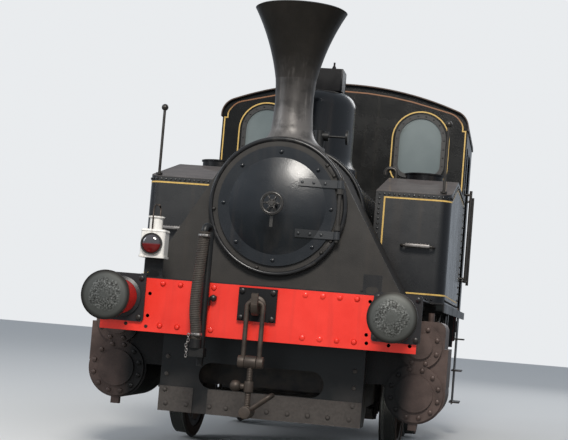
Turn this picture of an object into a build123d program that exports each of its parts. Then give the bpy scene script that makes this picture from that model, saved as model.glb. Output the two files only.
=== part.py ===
from build123d import *
from math import atan2, cos, degrees, hypot, radians, sin, sqrt
import os

os.makedirs("parts", exist_ok=True)

# A broad-gauge four-coupled side-tank locomotive with outside cylinders and radial valve gear.
# X points to the right of someone who faces the front, the front buffers face -Y, and Z = 0 is the
# level of the flange tips, so the rail tops lie one flange depth above it. All sizes are in mm.

# Wheels and their places
flange_depth = 28
tread_radius = 540
tyre_thickness = 60
tyre_width = 130
flange_width = 32
back_to_back = 1524
wheelbase = 2200
length_over_buffers = 7200
front_end_y = -length_over_buffers / 2
front_axle_y = front_end_y + 2350
axle_radius = 85
crank_throw = 210
crank_pin_radius = 48
hub_radius = 150
spoke_count = 12
pin_clearance = 1
axle_z = flange_depth + tread_radius
rear_axle_y = front_axle_y + wheelbase
wheel_inner_x = back_to_back / 2
wheel_outer_x = wheel_inner_x + tyre_width

# The upright planes of the motion, each set out from the wheel's outer face
coupling_rod_offset = 63
rod_plane_spacing = 120
return_crank_offset = 55
eccentric_rod_offset = 30
link_hanger_offset = 22
deck_overhang = 18
coupling_rod_x = wheel_outer_x + coupling_rod_offset
cylinder_x = coupling_rod_x + rod_plane_spacing
return_crank_x = cylinder_x + return_crank_offset
eccentric_rod_x = return_crank_x + eccentric_rod_offset
hanger_x = eccentric_rod_x + link_hanger_offset
deck_half_width = hanger_x + deck_overhang

# Main frames and beams
buffer_length = 450
buffer_spacing = 1905
buffer_z = 1078
buffer_head_radius = 165
beam_thickness = 40
beam_half_width = 1093
beam_bottom_z = 850
deck_z = 1218
deck_thickness = 10
frame_play = 38
frame_thickness = 25
beam_face_y = -front_end_y - buffer_length
beam_back_y = beam_face_y - beam_thickness
deck_top_z = deck_z + deck_thickness
frame_outer_x = wheel_inner_x - frame_play
frame_inner_x = frame_outer_x - frame_thickness

# Boiler, smokebox and their mountings
boiler_z = 1812
boiler_radius = 510
smokebox_front_y = front_end_y + 970
smokebox_length = 730
smokebox_back_y = smokebox_front_y + smokebox_length
boiler_back_y = -front_end_y - 2550
firebox_length = 770
firebox_front_y = boiler_back_y - firebox_length
smokebox_foot_x = 940
smokebox_wall = 12
door_ring_radius = 502
door_ring_depth = 40
door_opening_radius = 395
door_radius = 430
door_rim = 20
dish_radius = 350
dish_depth = 60
chimney_y = smokebox_front_y + 336
chimney_top_z = 3322
dome_y = chimney_y + 1194
dome_radius = 324
dome_top_z = 2900

# Side tanks
tank_inner_x = 610
tank_outer_x = deck_half_width - 6
tank_front_y = smokebox_back_y + 142
tank_front_z = 2058
tank_top_z = 2263
tank_slope_end_y = tank_front_y + 1008
tank_corner_radius = 100
filler_x = 890
filler_y = tank_slope_end_y + 270
filler_radius = 150
filler_height = 60
filler_wall = 10
lid_radius = 170
lid_thickness = 12

# Cab and bunker
cab_back_y = -front_end_y - 1250
cab_front_y = cab_back_y - 1539
cab_half_width = deck_half_width - 10
cab_wall = 8
roof_apex_z = 3290
roof_radius = 3000
shoulder_radius = 170
roof_thickness = 10
roof_overhang = 50
window_x = cab_half_width - 448
window_half_width = 205
window_bottom_z = 2468
window_top_z = 3010
window_bottom_radius = 90
bunker_back_y = cab_back_y + 710
bunker_top_z = 2150
bunker_half_width = cab_half_width - 90

# Cylinders and motion
cylinder_radius = 215
cylinder_front_y = smokebox_front_y - 20
cylinder_length = 600
cylinder_back_y = cylinder_front_y + cylinder_length
chest_z = 901
chest_cover_radius = 156
chest_top_z = 1078
connecting_rod_length = wheelbase + 200
coupling_rod_width = 50
connecting_rod_width = 56
crosshead_half_length = 95
guide_gap = 110
guide_height = 40
guide_width = 80
guide_back_y = front_axle_y + 170
piston_rod_radius = 30
return_crank_throw = 110
weighshaft_y = front_axle_y + 430
weighshaft_z = 1120
weighshaft_radius = 26
right_crank_angle = 270
left_crank_angle = 180


def crank_point(axle_y, throw, angle):
    """The (y, z) place of a pin on a wheel, with 0 degrees pointing rearwards."""
    return axle_y + throw * cos(radians(angle)), axle_z + throw * sin(radians(angle))


def crosshead_y(angle):
    """Where the crosshead pin lies for a crank angle."""
    pin_y, pin_z = crank_point(rear_axle_y, crank_throw, angle)
    return pin_y - sqrt(connecting_rod_length**2 - (pin_z - axle_z) ** 2)


# Columns: side, sign of X, crank angle
sides = (("left", -1, left_crank_angle), ("right", 1, right_crank_angle))

# Main frame plates
horn_width = 210
horn_top_z = axle_z + 140
horn_bottom_z = 330
horn_foot = 260
frame_edge_z = 430
guard_bottom_z = 298
frame_front_y = smokebox_front_y - 127
# Columns: y, z along the lower edge from the front beam to the rear one
frame_lower_edge = (
    (-beam_back_y, beam_bottom_z),
    (frame_front_y, beam_bottom_z),
    (frame_front_y, guard_bottom_z),
    (frame_front_y + 197, guard_bottom_z),
    (frame_front_y + 357, frame_edge_z),
    (front_axle_y - horn_foot, frame_edge_z),
    (front_axle_y - horn_width, horn_bottom_z),
    (front_axle_y + horn_width, horn_bottom_z),
    (front_axle_y + horn_foot, frame_edge_z),
    (rear_axle_y - horn_foot, frame_edge_z),
    (rear_axle_y - horn_width, horn_bottom_z),
    (rear_axle_y + horn_width, horn_bottom_z),
    (rear_axle_y + horn_foot, frame_edge_z),
    (cab_back_y - 50, frame_edge_z),
    (cab_back_y + 250, beam_bottom_z),
    (beam_back_y, beam_bottom_z),
)
frame_hole_z = 820
# Columns: y of a lightening hole, its length
frame_holes = ((front_axle_y + 750, 240), (front_axle_y + 1100, 240), (front_axle_y + 1450, 240))
for side, sign, angle in sides:
    with BuildPart() as frame_plate:
        with BuildSketch(Plane.YZ.offset(sign * (frame_outer_x - frame_thickness / 2))):
            with BuildLine():
                Polyline(*frame_lower_edge, (beam_back_y, deck_z), (-beam_back_y, deck_z), close=True)
            make_face()
            for axle_y in (front_axle_y, rear_axle_y):
                with Locations((axle_y, horn_top_z - horn_width)):
                    Rectangle(horn_width, 2 * horn_width, mode=Mode.SUBTRACT)
            for hole_y, hole_length in frame_holes:
                with Locations((hole_y, frame_hole_z)):
                    SlotOverall(hole_length, 160, mode=Mode.SUBTRACT)
            with Locations((weighshaft_y, weighshaft_z)):
                Circle(weighshaft_radius + pin_clearance, mode=Mode.SUBTRACT)
        extrude(amount=frame_thickness / 2, both=True)
    frame_plate.part.label = f"frame_plate_{side}"
    export_step(frame_plate.part, f"parts/frame_plate_{side}.step")

# Stretchers between the frames: columns y, bottom z
stretcher_thickness = 20
stretcher_top_z = deck_z - 18
stretchers = (
    (smokebox_front_y + 230, 500),
    (smokebox_back_y, 620),
    (firebox_front_y - 530, 480),
    (max(boiler_back_y + 600, rear_axle_y + 700), 480),
    (bunker_back_y - 360, 860),
)
with BuildPart() as frame_stretchers:
    for y, bottom_z in stretchers:
        with Locations((0, y, (bottom_z + stretcher_top_z) / 2)):
            Box(2 * frame_inner_x, stretcher_thickness, stretcher_top_z - bottom_z)
frame_stretchers.part.label = "frame_stretchers"
export_step(frame_stretchers.part, "parts/frame_stretchers.step")

# Guard plate across the frame fronts, with its long slot and the two doubling strips along its foot
guard_thickness = 10
strip_thickness = 8
strip_top_z = 474
strip_gap_x = (-478, -372)
guard_slot_length = 894
guard_slot_height = 184
guard_slot_z = 570
with BuildPart() as guard_plate:
    with BuildSketch(Plane.XZ.offset(-frame_front_y)):
        with Locations((0, (guard_bottom_z + beam_bottom_z) / 2)):
            Rectangle(2 * frame_outer_x, beam_bottom_z - guard_bottom_z)
        with Locations((0, guard_slot_z)):
            SlotOverall(guard_slot_length, guard_slot_height, mode=Mode.SUBTRACT)
    extrude(amount=guard_thickness)
    with BuildSketch(Plane.XZ.offset(guard_thickness - frame_front_y)):
        for start_x, end_x in ((-frame_outer_x, strip_gap_x[0]), (strip_gap_x[1], frame_outer_x)):
            with Locations(((start_x + end_x) / 2, (guard_bottom_z + strip_top_z) / 2)):
                Rectangle(end_x - start_x, strip_top_z - guard_bottom_z)
    extrude(amount=strip_thickness)
guard_plate.part.label = "guard_plate"
export_step(guard_plate.part, "parts/guard_plate.step")

# Buffer beams
for name, sign in (("front", -1), ("rear", 1)):
    with BuildPart() as buffer_beam:
        with BuildSketch(Plane.XZ.offset(-sign * (beam_face_y - beam_thickness / 2))):
            with Locations((0, (beam_bottom_z + deck_z) / 2)):
                Rectangle(2 * beam_half_width, deck_z - beam_bottom_z)
        extrude(amount=beam_thickness / 2, both=True)
    buffer_beam.part.label = f"{name}_buffer_beam"
    export_step(buffer_beam.part, f"parts/{name}_buffer_beam.step")

# Running plate, narrow at the front deck and wider under the tanks, cab and bunker
deck_wide_y = tank_front_y - 42
valance_depth = 60
valance_thickness = 10
deck_opening_back_y = boiler_back_y + 350
with BuildPart() as running_plate:
    with BuildSketch(Plane.XY.offset(deck_z)):
        with Locations((0, (deck_wide_y - beam_face_y) / 2)):
            Rectangle(2 * beam_half_width, deck_wide_y + beam_face_y)
        with Locations((0, (deck_wide_y + beam_face_y) / 2)):
            Rectangle(2 * deck_half_width, beam_face_y - deck_wide_y)
        with Locations((0, (smokebox_back_y + deck_opening_back_y) / 2)):
            Rectangle(2 * frame_inner_x - 20, deck_opening_back_y - smokebox_back_y, mode=Mode.SUBTRACT)
    extrude(amount=deck_thickness)
    with BuildSketch(Plane.XY.offset(deck_z - valance_depth)):
        for sign in (-1, 1):
            with Locations((sign * (deck_half_width - valance_thickness / 2), (deck_wide_y + beam_back_y) / 2)):
                Rectangle(valance_thickness, beam_back_y - deck_wide_y)
    extrude(amount=valance_depth)
running_plate.part.label = "running_plate"
export_step(running_plate.part, "parts/running_plate.step")

# Buffers: housings bolted to the beams, and the plungers with their heads
buffer_base = 330
buffer_base_thickness = 20
housing_length = 265
housing_flange_radius = 140
housing_flange_depth = 16
housing_base_radius = 118
housing_tip_radius = 96
housing_lip = 18
plunger_radius = 62
head_thickness = 24
head_dome = 14
head_flat_radius = 20
head_neck_length = 40
with BuildPart() as buffer_housings:
    for sign_x in (-1, 1):
        for sign_y in (-1, 1):
            centre_x = sign_x * buffer_spacing / 2
            base = Plane(
                (centre_x, sign_y * beam_face_y, buffer_z),
                x_dir=(1, 0, 0),
                z_dir=(0, sign_y, 0),
            )
            with BuildSketch(base):
                RectangleRounded(buffer_base, buffer_base, 24)
            extrude(amount=buffer_base_thickness)
            with BuildSketch(Plane((centre_x, sign_y * beam_face_y, buffer_z), x_dir=(1, 0, 0), z_dir=(0, 0, 1))):
                with BuildLine():
                    Polyline(
                        (0, 0),
                        (housing_flange_radius, 0),
                        (housing_flange_radius, sign_y * (buffer_base_thickness + housing_flange_depth)),
                        (housing_base_radius, sign_y * (buffer_base_thickness + housing_flange_depth + 10)),
                        (housing_tip_radius, sign_y * (housing_length - housing_lip)),
                        (housing_tip_radius + 8, sign_y * (housing_length - housing_lip + 4)),
                        (housing_tip_radius + 8, sign_y * housing_length),
                        (0, sign_y * housing_length),
                        close=True,
                    )
                make_face()
            revolve(axis=Axis((centre_x, 0, buffer_z), (0, 1, 0)))
buffer_housings.part.label = "buffer_housings"
export_step(buffer_housings.part, "parts/buffer_housings.step")

with BuildPart() as buffer_plungers:
    for sign_x in (-1, 1):
        for sign_y in (-1, 1):
            centre_x = sign_x * buffer_spacing / 2
            head_back = buffer_length - head_dome - head_thickness
            with BuildSketch(Plane((centre_x, sign_y * beam_face_y, buffer_z), x_dir=(1, 0, 0), z_dir=(0, 0, 1))):
                with BuildLine():
                    Polyline(
                        (0, sign_y * buffer_length),
                        (0, sign_y * housing_length),
                        (plunger_radius, sign_y * housing_length),
                        (plunger_radius, sign_y * (head_back - head_neck_length)),
                        (plunger_radius + 34, sign_y * head_back),
                        (buffer_head_radius, sign_y * head_back),
                        (buffer_head_radius, sign_y * (head_back + head_thickness)),
                    )
                    ThreePointArc(
                        (buffer_head_radius, sign_y * (head_back + head_thickness)),
                        (buffer_head_radius * 0.55, sign_y * (buffer_length - head_dome * 0.28)),
                        (head_flat_radius, sign_y * buffer_length),
                    )
                    Line((head_flat_radius, sign_y * buffer_length), (0, sign_y * buffer_length))
                make_face()
            revolve(axis=Axis((centre_x, 0, buffer_z), (0, 1, 0)))
buffer_plungers.part.label = "buffer_plungers"
export_step(buffer_plungers.part, "parts/buffer_plungers.step")

# Draw hooks on their plates
hook_plate_width = 265
hook_plate_height = 228
hook_plate_z = 1092
hook_plate_thickness = 25
hook_thickness = 44
hook_reach = 150
link_radius = 16
hook_seat_z = 1110
hook_seat_reach = 92
hook_tip_z = hook_seat_z + 61
with BuildPart() as draw_hooks:
    for sign in (-1, 1):
        base_y = sign * beam_face_y
        with Locations((0, base_y + sign * hook_plate_thickness / 2, hook_plate_z)):
            Box(hook_plate_width, hook_plate_thickness, hook_plate_height)
        root_y = base_y + sign * hook_plate_thickness
        seat_y = base_y + sign * hook_seat_reach
        throat = link_radius + 0.4
        tip_y = base_y + sign * hook_reach
        with BuildSketch(Plane.YZ):
            with BuildLine():
                Line((root_y, hook_seat_z + 32), (seat_y - sign * throat, hook_seat_z))
                ThreePointArc(
                    (seat_y - sign * throat, hook_seat_z),
                    (seat_y, hook_seat_z - throat),
                    (seat_y + sign * throat, hook_seat_z),
                )
                Line((seat_y + sign * throat, hook_seat_z), (tip_y - sign * 24, hook_tip_z))
                Line((tip_y - sign * 24, hook_tip_z), (tip_y, hook_tip_z - 8))
                Line((tip_y, hook_tip_z - 8), (tip_y, hook_seat_z - 20))
                ThreePointArc(
                    (tip_y, hook_seat_z - 20),
                    (tip_y - sign * 28, hook_seat_z - 72),
                    (seat_y - sign * 10, hook_seat_z - 90),
                )
                Line((seat_y - sign * 10, hook_seat_z - 90), (root_y, hook_seat_z - 90))
                Line((root_y, hook_seat_z - 90), (root_y, hook_seat_z + 32))
            make_face()
        extrude(amount=hook_thickness / 2, both=True)
draw_hooks.part.label = "draw_hooks"
export_step(draw_hooks.part, "parts/draw_hooks.step")

# Screw couplings, hung from the hooks, with the lower link turned across and swung up
link_half_gap = 55
link_length = 400
link_bend = 35
screw_radius = 20
trunnion_radius = 26
trunnion_end = 30
lower_trunnion_drop = 340
lower_link_length = 205
lower_link_rise = 38
ball_radius = 40
ball_x = -90
for name, sign in (("front", -1), ("rear", 1)):
    hang_y = sign * (beam_face_y + hook_seat_reach)
    upper_z = hook_seat_z - link_length
    lower_z = upper_z - lower_trunnion_drop
    ball_z = (upper_z + lower_z) / 2
    with BuildPart() as screw_coupling:
        bow_x = lower_link_length * cos(radians(lower_link_rise))
        bow_z = lower_z + lower_link_length * sin(radians(lower_link_rise))
        upper_link = (
            (-link_half_gap, hang_y, upper_z),
            (-link_half_gap, hang_y, hook_seat_z),
            (link_half_gap, hang_y, hook_seat_z),
            (link_half_gap, hang_y, upper_z),
        )
        lower_link = (
            (0, hang_y - link_half_gap, lower_z),
            (bow_x, hang_y - link_half_gap, bow_z),
            (bow_x, hang_y + link_half_gap, bow_z),
            (0, hang_y + link_half_gap, lower_z),
        )
        for link_points in (upper_link, lower_link):
            with BuildLine() as shackle_path:
                FilletPolyline(*link_points, radius=link_bend)
            with BuildSketch(Plane(shackle_path.line @ 0, z_dir=shackle_path.line % 0)):
                Circle(link_radius)
            sweep()
        for z, turn in ((upper_z, (0, 90, 0)), (lower_z, (90, 0, 0))):
            with Locations(Location((0, hang_y, z), turn)):
                Cylinder(trunnion_radius, 2 * (link_half_gap + trunnion_end))
        with Locations((0, hang_y, ball_z)):
            Cylinder(screw_radius, lower_trunnion_drop + 2 * trunnion_radius + 20)
        with Locations(Location((ball_x / 2, hang_y, ball_z), (0, 90, 0))):
            Cylinder(10, abs(ball_x))
        with Locations((ball_x, hang_y, ball_z)):
            Sphere(ball_radius, rotation=(0, 90, 0))
    screw_coupling.part.label = f"screw_coupling_{name}"
    export_step(screw_coupling.part, f"parts/screw_coupling_{name}.step")

# Smokebox: a hollow round-topped box whose straight sides flare to the deck
def smokebox_outline(radius, foot_x, foot_z):
    """The flared outline about the boiler centre, drawn in the XZ plane."""
    distance = hypot(foot_x, boiler_z - foot_z)
    tangent = atan2(foot_z - boiler_z, foot_x) + atan2(sqrt(distance**2 - radius**2), radius)
    tangent_x = radius * cos(tangent)
    tangent_z = boiler_z + radius * sin(tangent)
    Line((-foot_x, foot_z), (foot_x, foot_z))
    Line((foot_x, foot_z), (tangent_x, tangent_z))
    ThreePointArc((tangent_x, tangent_z), (0, boiler_z + radius), (-tangent_x, tangent_z))
    Line((-tangent_x, tangent_z), (-foot_x, foot_z))


chimney_bore = 130
with BuildPart() as smokebox:
    with BuildSketch(Plane.XZ.offset(-smokebox_front_y)):
        with BuildLine():
            smokebox_outline(boiler_radius, smokebox_foot_x, deck_top_z)
        make_face()
    extrude(amount=smokebox_front_y - smokebox_back_y)
    with BuildSketch(Plane.XZ.offset(-(smokebox_front_y + smokebox_wall))):
        with BuildLine():
            smokebox_outline(
                boiler_radius - smokebox_wall,
                smokebox_foot_x - 2 * smokebox_wall,
                deck_top_z + smokebox_wall,
            )
        make_face()
    inner_length = smokebox_back_y - smokebox_front_y - 2 * smokebox_wall
    extrude(amount=-inner_length, mode=Mode.SUBTRACT)
    with BuildSketch(Plane.XZ.offset(-smokebox_front_y)):
        with Locations((0, boiler_z)):
            Circle(door_ring_radius)
    extrude(amount=door_ring_depth)
    with BuildSketch(Plane.XZ.offset(-(smokebox_front_y + smokebox_wall))):
        with Locations((0, boiler_z)):
            Circle(door_opening_radius)
    extrude(amount=door_ring_depth + smokebox_wall, mode=Mode.SUBTRACT)
    with Locations((0, chimney_y, boiler_z + boiler_radius)):
        Cylinder(chimney_bore, 200, mode=Mode.SUBTRACT)
smokebox.part.label = "smokebox"
export_step(smokebox.part, "parts/smokebox.step")

# Smokebox door: flat rim, dished centre, hinge straps and locking wheel
door_seat_y = smokebox_front_y - door_ring_depth
door_gap = 0.4
hinge_x = 446
hinge_y = door_seat_y - 30
hinge_pin_radius = 12
hinge_eye_radius = 23
strap_height = 56
strap_heights = (boiler_z + 181, boiler_z - 184)
strap_inner_x = 150
strap_thickness = 12
hinge_lug_heights = (boiler_z + 130, boiler_z - 130)
hinge_lug_height = 36
handwheel_radius = 82
handwheel_rim = 9
handwheel_spokes = 6
handwheel_y = door_seat_y - 250
spindle_radius = 16
locking_lever_length = 155
door_back_y = door_seat_y - door_gap
door_face_y = door_back_y - door_rim
dish_curve = (dish_radius**2 + dish_depth**2) / (2 * dish_depth)
door_axis = Axis((0, 0, boiler_z), (0, 1, 0))
with BuildPart() as strap_forms:
    with BuildSketch(Plane.YZ):
        with BuildLine():
            Line((door_face_y, boiler_z), (door_face_y, boiler_z + door_radius + 80))
            Line(
                (door_face_y, boiler_z + door_radius + 80),
                (door_face_y - strap_thickness, boiler_z + door_radius + 80),
            )
            Line(
                (door_face_y - strap_thickness, boiler_z + door_radius + 80),
                (door_face_y - strap_thickness, boiler_z + dish_radius),
            )
            RadiusArc(
                (door_face_y - strap_thickness, boiler_z + dish_radius),
                (door_face_y - strap_thickness - dish_depth, boiler_z),
                -dish_curve,
            )
            Line((door_face_y - strap_thickness - dish_depth, boiler_z), (door_face_y, boiler_z))
        make_face()
    revolve(axis=door_axis)
    with BuildSketch(Plane.XZ.offset(-door_face_y)):
        for z in strap_heights:
            with Locations(((strap_inner_x + hinge_x) / 2, z)):
                Rectangle(hinge_x - strap_inner_x, strap_height)
    extrude(amount=200, both=True, mode=Mode.INTERSECT)
with BuildPart() as smokebox_door:
    with BuildSketch(Plane.YZ):
        with BuildLine():
            Line((door_back_y, boiler_z), (door_back_y, boiler_z + door_radius))
            Line((door_back_y, boiler_z + door_radius), (door_face_y, boiler_z + door_radius))
            Line((door_face_y, boiler_z + door_radius), (door_face_y, boiler_z + dish_radius))
            RadiusArc(
                (door_face_y, boiler_z + dish_radius),
                (door_face_y - dish_depth, boiler_z),
                -dish_curve,
            )
            Line((door_face_y - dish_depth, boiler_z), (door_back_y, boiler_z))
        make_face()
    revolve(axis=door_axis)
    add(strap_forms.part)
    for z in strap_heights:
        with BuildSketch(Plane.XY.offset(z - strap_height / 2)):
            with Locations((hinge_x, hinge_y)):
                Circle(hinge_eye_radius)
        extrude(amount=strap_height)
        with Locations((hinge_x, hinge_y, z)):
            Cylinder(hinge_pin_radius + pin_clearance, strap_height + 2, mode=Mode.SUBTRACT)
    spindle_back_y = door_face_y - dish_depth + 5
    with BuildSketch(Plane.XZ.offset(-spindle_back_y)):
        with Locations((0, boiler_z)):
            Circle(spindle_radius)
    extrude(amount=spindle_back_y - handwheel_y + 20)
    with BuildSketch(Plane.XZ.offset(-(handwheel_y + handwheel_rim))):
        with Locations((0, boiler_z)):
            Circle(handwheel_radius)
            Circle(handwheel_radius - 2 * handwheel_rim, mode=Mode.SUBTRACT)
            with PolarLocations(handwheel_radius / 2, handwheel_spokes):
                Rectangle(handwheel_radius, 10)
            Circle(28)
    extrude(amount=2 * handwheel_rim)
    with BuildSketch(Plane.XZ.offset(-(handwheel_y + 45))):
        with Locations((0, boiler_z - locking_lever_length / 2)):
            Rectangle(22, locking_lever_length + 20)
        with Locations((0, boiler_z)):
            Circle(26)
    extrude(amount=14)
smokebox_door.part.label = "smokebox_door"
export_step(smokebox_door.part, "parts/smokebox_door.step")

# Hinge lugs and pin on the door ring
with BuildPart() as door_hinge:
    for z in hinge_lug_heights:
        with BuildSketch(Plane.XY.offset(z - hinge_lug_height / 2)):
            with Locations((hinge_x, (hinge_y + door_seat_y) / 2)):
                Rectangle(2 * hinge_eye_radius, door_seat_y - hinge_y)
            with Locations((hinge_x, hinge_y)):
                Circle(hinge_eye_radius)
        extrude(amount=hinge_lug_height)
    with Locations((hinge_x, hinge_y, boiler_z)):
        Cylinder(hinge_pin_radius, strap_heights[0] - strap_heights[1] + strap_height + 40)
door_hinge.part.label = "door_hinge"
export_step(door_hinge.part, "parts/door_hinge.step")

# Boiler in its cladding, with the firebox below it between the frames
firebox_half_width = 500
firebox_bottom_z = 700
with BuildPart() as boiler:
    with BuildSketch(Plane.XZ.offset(-smokebox_back_y)):
        with Locations((0, boiler_z)):
            Circle(boiler_radius)
    extrude(amount=smokebox_back_y - boiler_back_y)
    with BuildSketch(Plane.XZ.offset(-firebox_front_y)):
        with Locations((0, (boiler_z + firebox_bottom_z) / 2)):
            Rectangle(2 * firebox_half_width, boiler_z - firebox_bottom_z)
    extrude(amount=firebox_front_y - boiler_back_y)
boiler.part.label = "boiler"
export_step(boiler.part, "parts/boiler.step")

# Chimney with a flared foot that sits on the smokebox
chimney_foot_z = boiler_z + boiler_radius - 32
chimney_root_z = chimney_foot_z - 90
chimney_height = chimney_top_z - chimney_foot_z
chimney_foot_radius = 255
chimney_neck_z = chimney_foot_z + 0.145 * chimney_height
chimney_neck_radius = 154
chimney_waist_z = chimney_foot_z + 0.31 * chimney_height
chimney_waist_radius = 144
cap_start_z = chimney_foot_z + 0.484 * chimney_height
cap_start_radius = 153
cap_middle_z = chimney_foot_z + 0.717 * chimney_height
cap_middle_radius = 216
cap_radius = 344
cap_lip = 18
foot_middle = (chimney_foot_radius - 71, (chimney_foot_z + chimney_neck_z) / 2 - 20)
with BuildPart() as chimney:
    with BuildSketch(Plane.XZ.offset(-chimney_y)):
        with BuildLine():
            Line((chimney_bore, chimney_root_z), (chimney_foot_radius, chimney_root_z))
            Line((chimney_foot_radius, chimney_root_z), (chimney_foot_radius, chimney_foot_z))
            ThreePointArc(
                (chimney_foot_radius, chimney_foot_z),
                foot_middle,
                (chimney_neck_radius, chimney_neck_z),
            )
            ThreePointArc(
                (chimney_neck_radius, chimney_neck_z),
                (chimney_waist_radius, chimney_waist_z),
                (cap_start_radius, cap_start_z),
            )
            ThreePointArc(
                (cap_start_radius, cap_start_z),
                (cap_middle_radius, cap_middle_z),
                (cap_radius - 6, chimney_top_z - cap_lip),
            )
            Line((cap_radius - 6, chimney_top_z - cap_lip), (cap_radius, chimney_top_z - cap_lip / 2))
            Line((cap_radius, chimney_top_z - cap_lip / 2), (cap_radius - 14, chimney_top_z))
            Line((cap_radius - 14, chimney_top_z), (cap_radius - 26, chimney_top_z - cap_lip / 2))
            ThreePointArc(
                (cap_radius - 26, chimney_top_z - cap_lip / 2),
                (cap_middle_radius - cap_lip, cap_middle_z),
                (chimney_bore, cap_start_z),
            )
            Line((chimney_bore, cap_start_z), (chimney_bore, chimney_root_z))
        make_face()
    revolve(axis=Axis((0, chimney_y, 0), (0, 0, 1)))
    with Locations(Location((0, chimney_y, boiler_z), (90, 0, 0))):
        Cylinder(boiler_radius, smokebox_length, mode=Mode.SUBTRACT)
chimney.part.label = "chimney"
export_step(chimney.part, "parts/chimney.step")

# Dome, with the safety valves in a box on top of it
valve_box_width = 420
valve_box_length = 240
valve_box_height = 182
whistle_x = 120
whistle_height = 70
dome_foot_radius = dome_radius + 50
dome_root_z = boiler_z + boiler_radius - 122
dome_foot_z = boiler_z + boiler_radius - 60
with BuildPart() as dome:
    with BuildSketch(Plane.XZ.offset(-dome_y)):
        with BuildLine():
            Line((0, dome_root_z), (dome_foot_radius, dome_root_z))
            Line((dome_foot_radius, dome_root_z), (dome_foot_radius, dome_foot_z))
            ThreePointArc(
                (dome_foot_radius, dome_foot_z),
                (dome_radius + 12, dome_foot_z + 48),
                (dome_radius, dome_foot_z + 108),
            )
            Line((dome_radius, dome_foot_z + 108), (dome_radius, dome_top_z - 130))
            ThreePointArc(
                (dome_radius, dome_top_z - 130),
                (dome_radius - 32, dome_top_z - 50),
                (dome_radius - 120, dome_top_z - 10),
            )
            Line((dome_radius - 120, dome_top_z - 10), (0, dome_top_z))
            Line((0, dome_top_z), (0, dome_root_z))
        make_face()
    revolve(axis=Axis((0, dome_y, 0), (0, 0, 1)))
    with Locations(Location((0, dome_y, boiler_z), (90, 0, 0))):
        Cylinder(boiler_radius, 4 * dome_radius, mode=Mode.SUBTRACT)
dome.part.label = "dome"
export_step(dome.part, "parts/dome.step")

with BuildPart() as safety_valve_box:
    with Locations((0, dome_y, dome_top_z + valve_box_height / 2)):
        Box(valve_box_width, valve_box_length, valve_box_height)
    whistle_foot_z = dome_top_z + valve_box_height
    with BuildSketch(Plane.XZ.offset(-dome_y)):
        with BuildLine():
            Polyline(
                (whistle_x, whistle_foot_z),
                (whistle_x + 24, whistle_foot_z),
                (whistle_x + 24, whistle_foot_z + 8),
                (whistle_x + 14, whistle_foot_z + 32),
                (whistle_x + 8, whistle_foot_z + 44),
                (whistle_x + 8, whistle_foot_z + whistle_height),
                (whistle_x, whistle_foot_z + whistle_height),
                close=True,
            )
        make_face()
    revolve(axis=Axis((whistle_x, dome_y, 0), (0, 0, 1)))
safety_valve_box.part.label = "safety_valve_box"
export_step(safety_valve_box.part, "parts/safety_valve_box.step")

# Blower valve on the boiler top, and the pipe that follows the cladding round its right side
blower_y = smokebox_back_y + 200
blower_x = 125
blower_z = boiler_z + boiler_radius + 138
pipe_radius = 20
pipe_y = smokebox_back_y + 100
with BuildPart() as blower_valve:
    with Locations((blower_x, blower_y, blower_z - 60)):
        Cylinder(45, 200)
    with Locations(Location((blower_x, blower_y, blower_z), (0, 90, 0))):
        Cylinder(38, 150)
    with Locations(Location((blower_x + 135, blower_y, blower_z), (0, 90, 0))):
        Cylinder(10, 180)
    with Locations(Location((blower_x + 220, blower_y, blower_z), (0, 90, 0))):
        Cylinder(58, 16)
    with Locations(Location((0, blower_y, boiler_z), (90, 0, 0))):
        Cylinder(boiler_radius, 400, mode=Mode.SUBTRACT)
    with BuildLine() as blower_pipe_path:
        pipe_bend = boiler_radius + pipe_radius
        ThreePointArc(
            (pipe_bend * cos(radians(76)), pipe_y, boiler_z + pipe_bend * sin(radians(76))),
            (pipe_bend * cos(radians(30)), pipe_y, boiler_z + pipe_bend * sin(radians(30))),
            (pipe_bend * cos(radians(-20)), pipe_y, boiler_z + pipe_bend * sin(radians(-20))),
        )
    with BuildSketch(Plane(blower_pipe_path.line @ 0, z_dir=blower_pipe_path.line % 0)):
        Circle(pipe_radius)
    sweep()
blower_valve.part.label = "blower_valve"
export_step(blower_valve.part, "parts/blower_valve.step")

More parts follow.
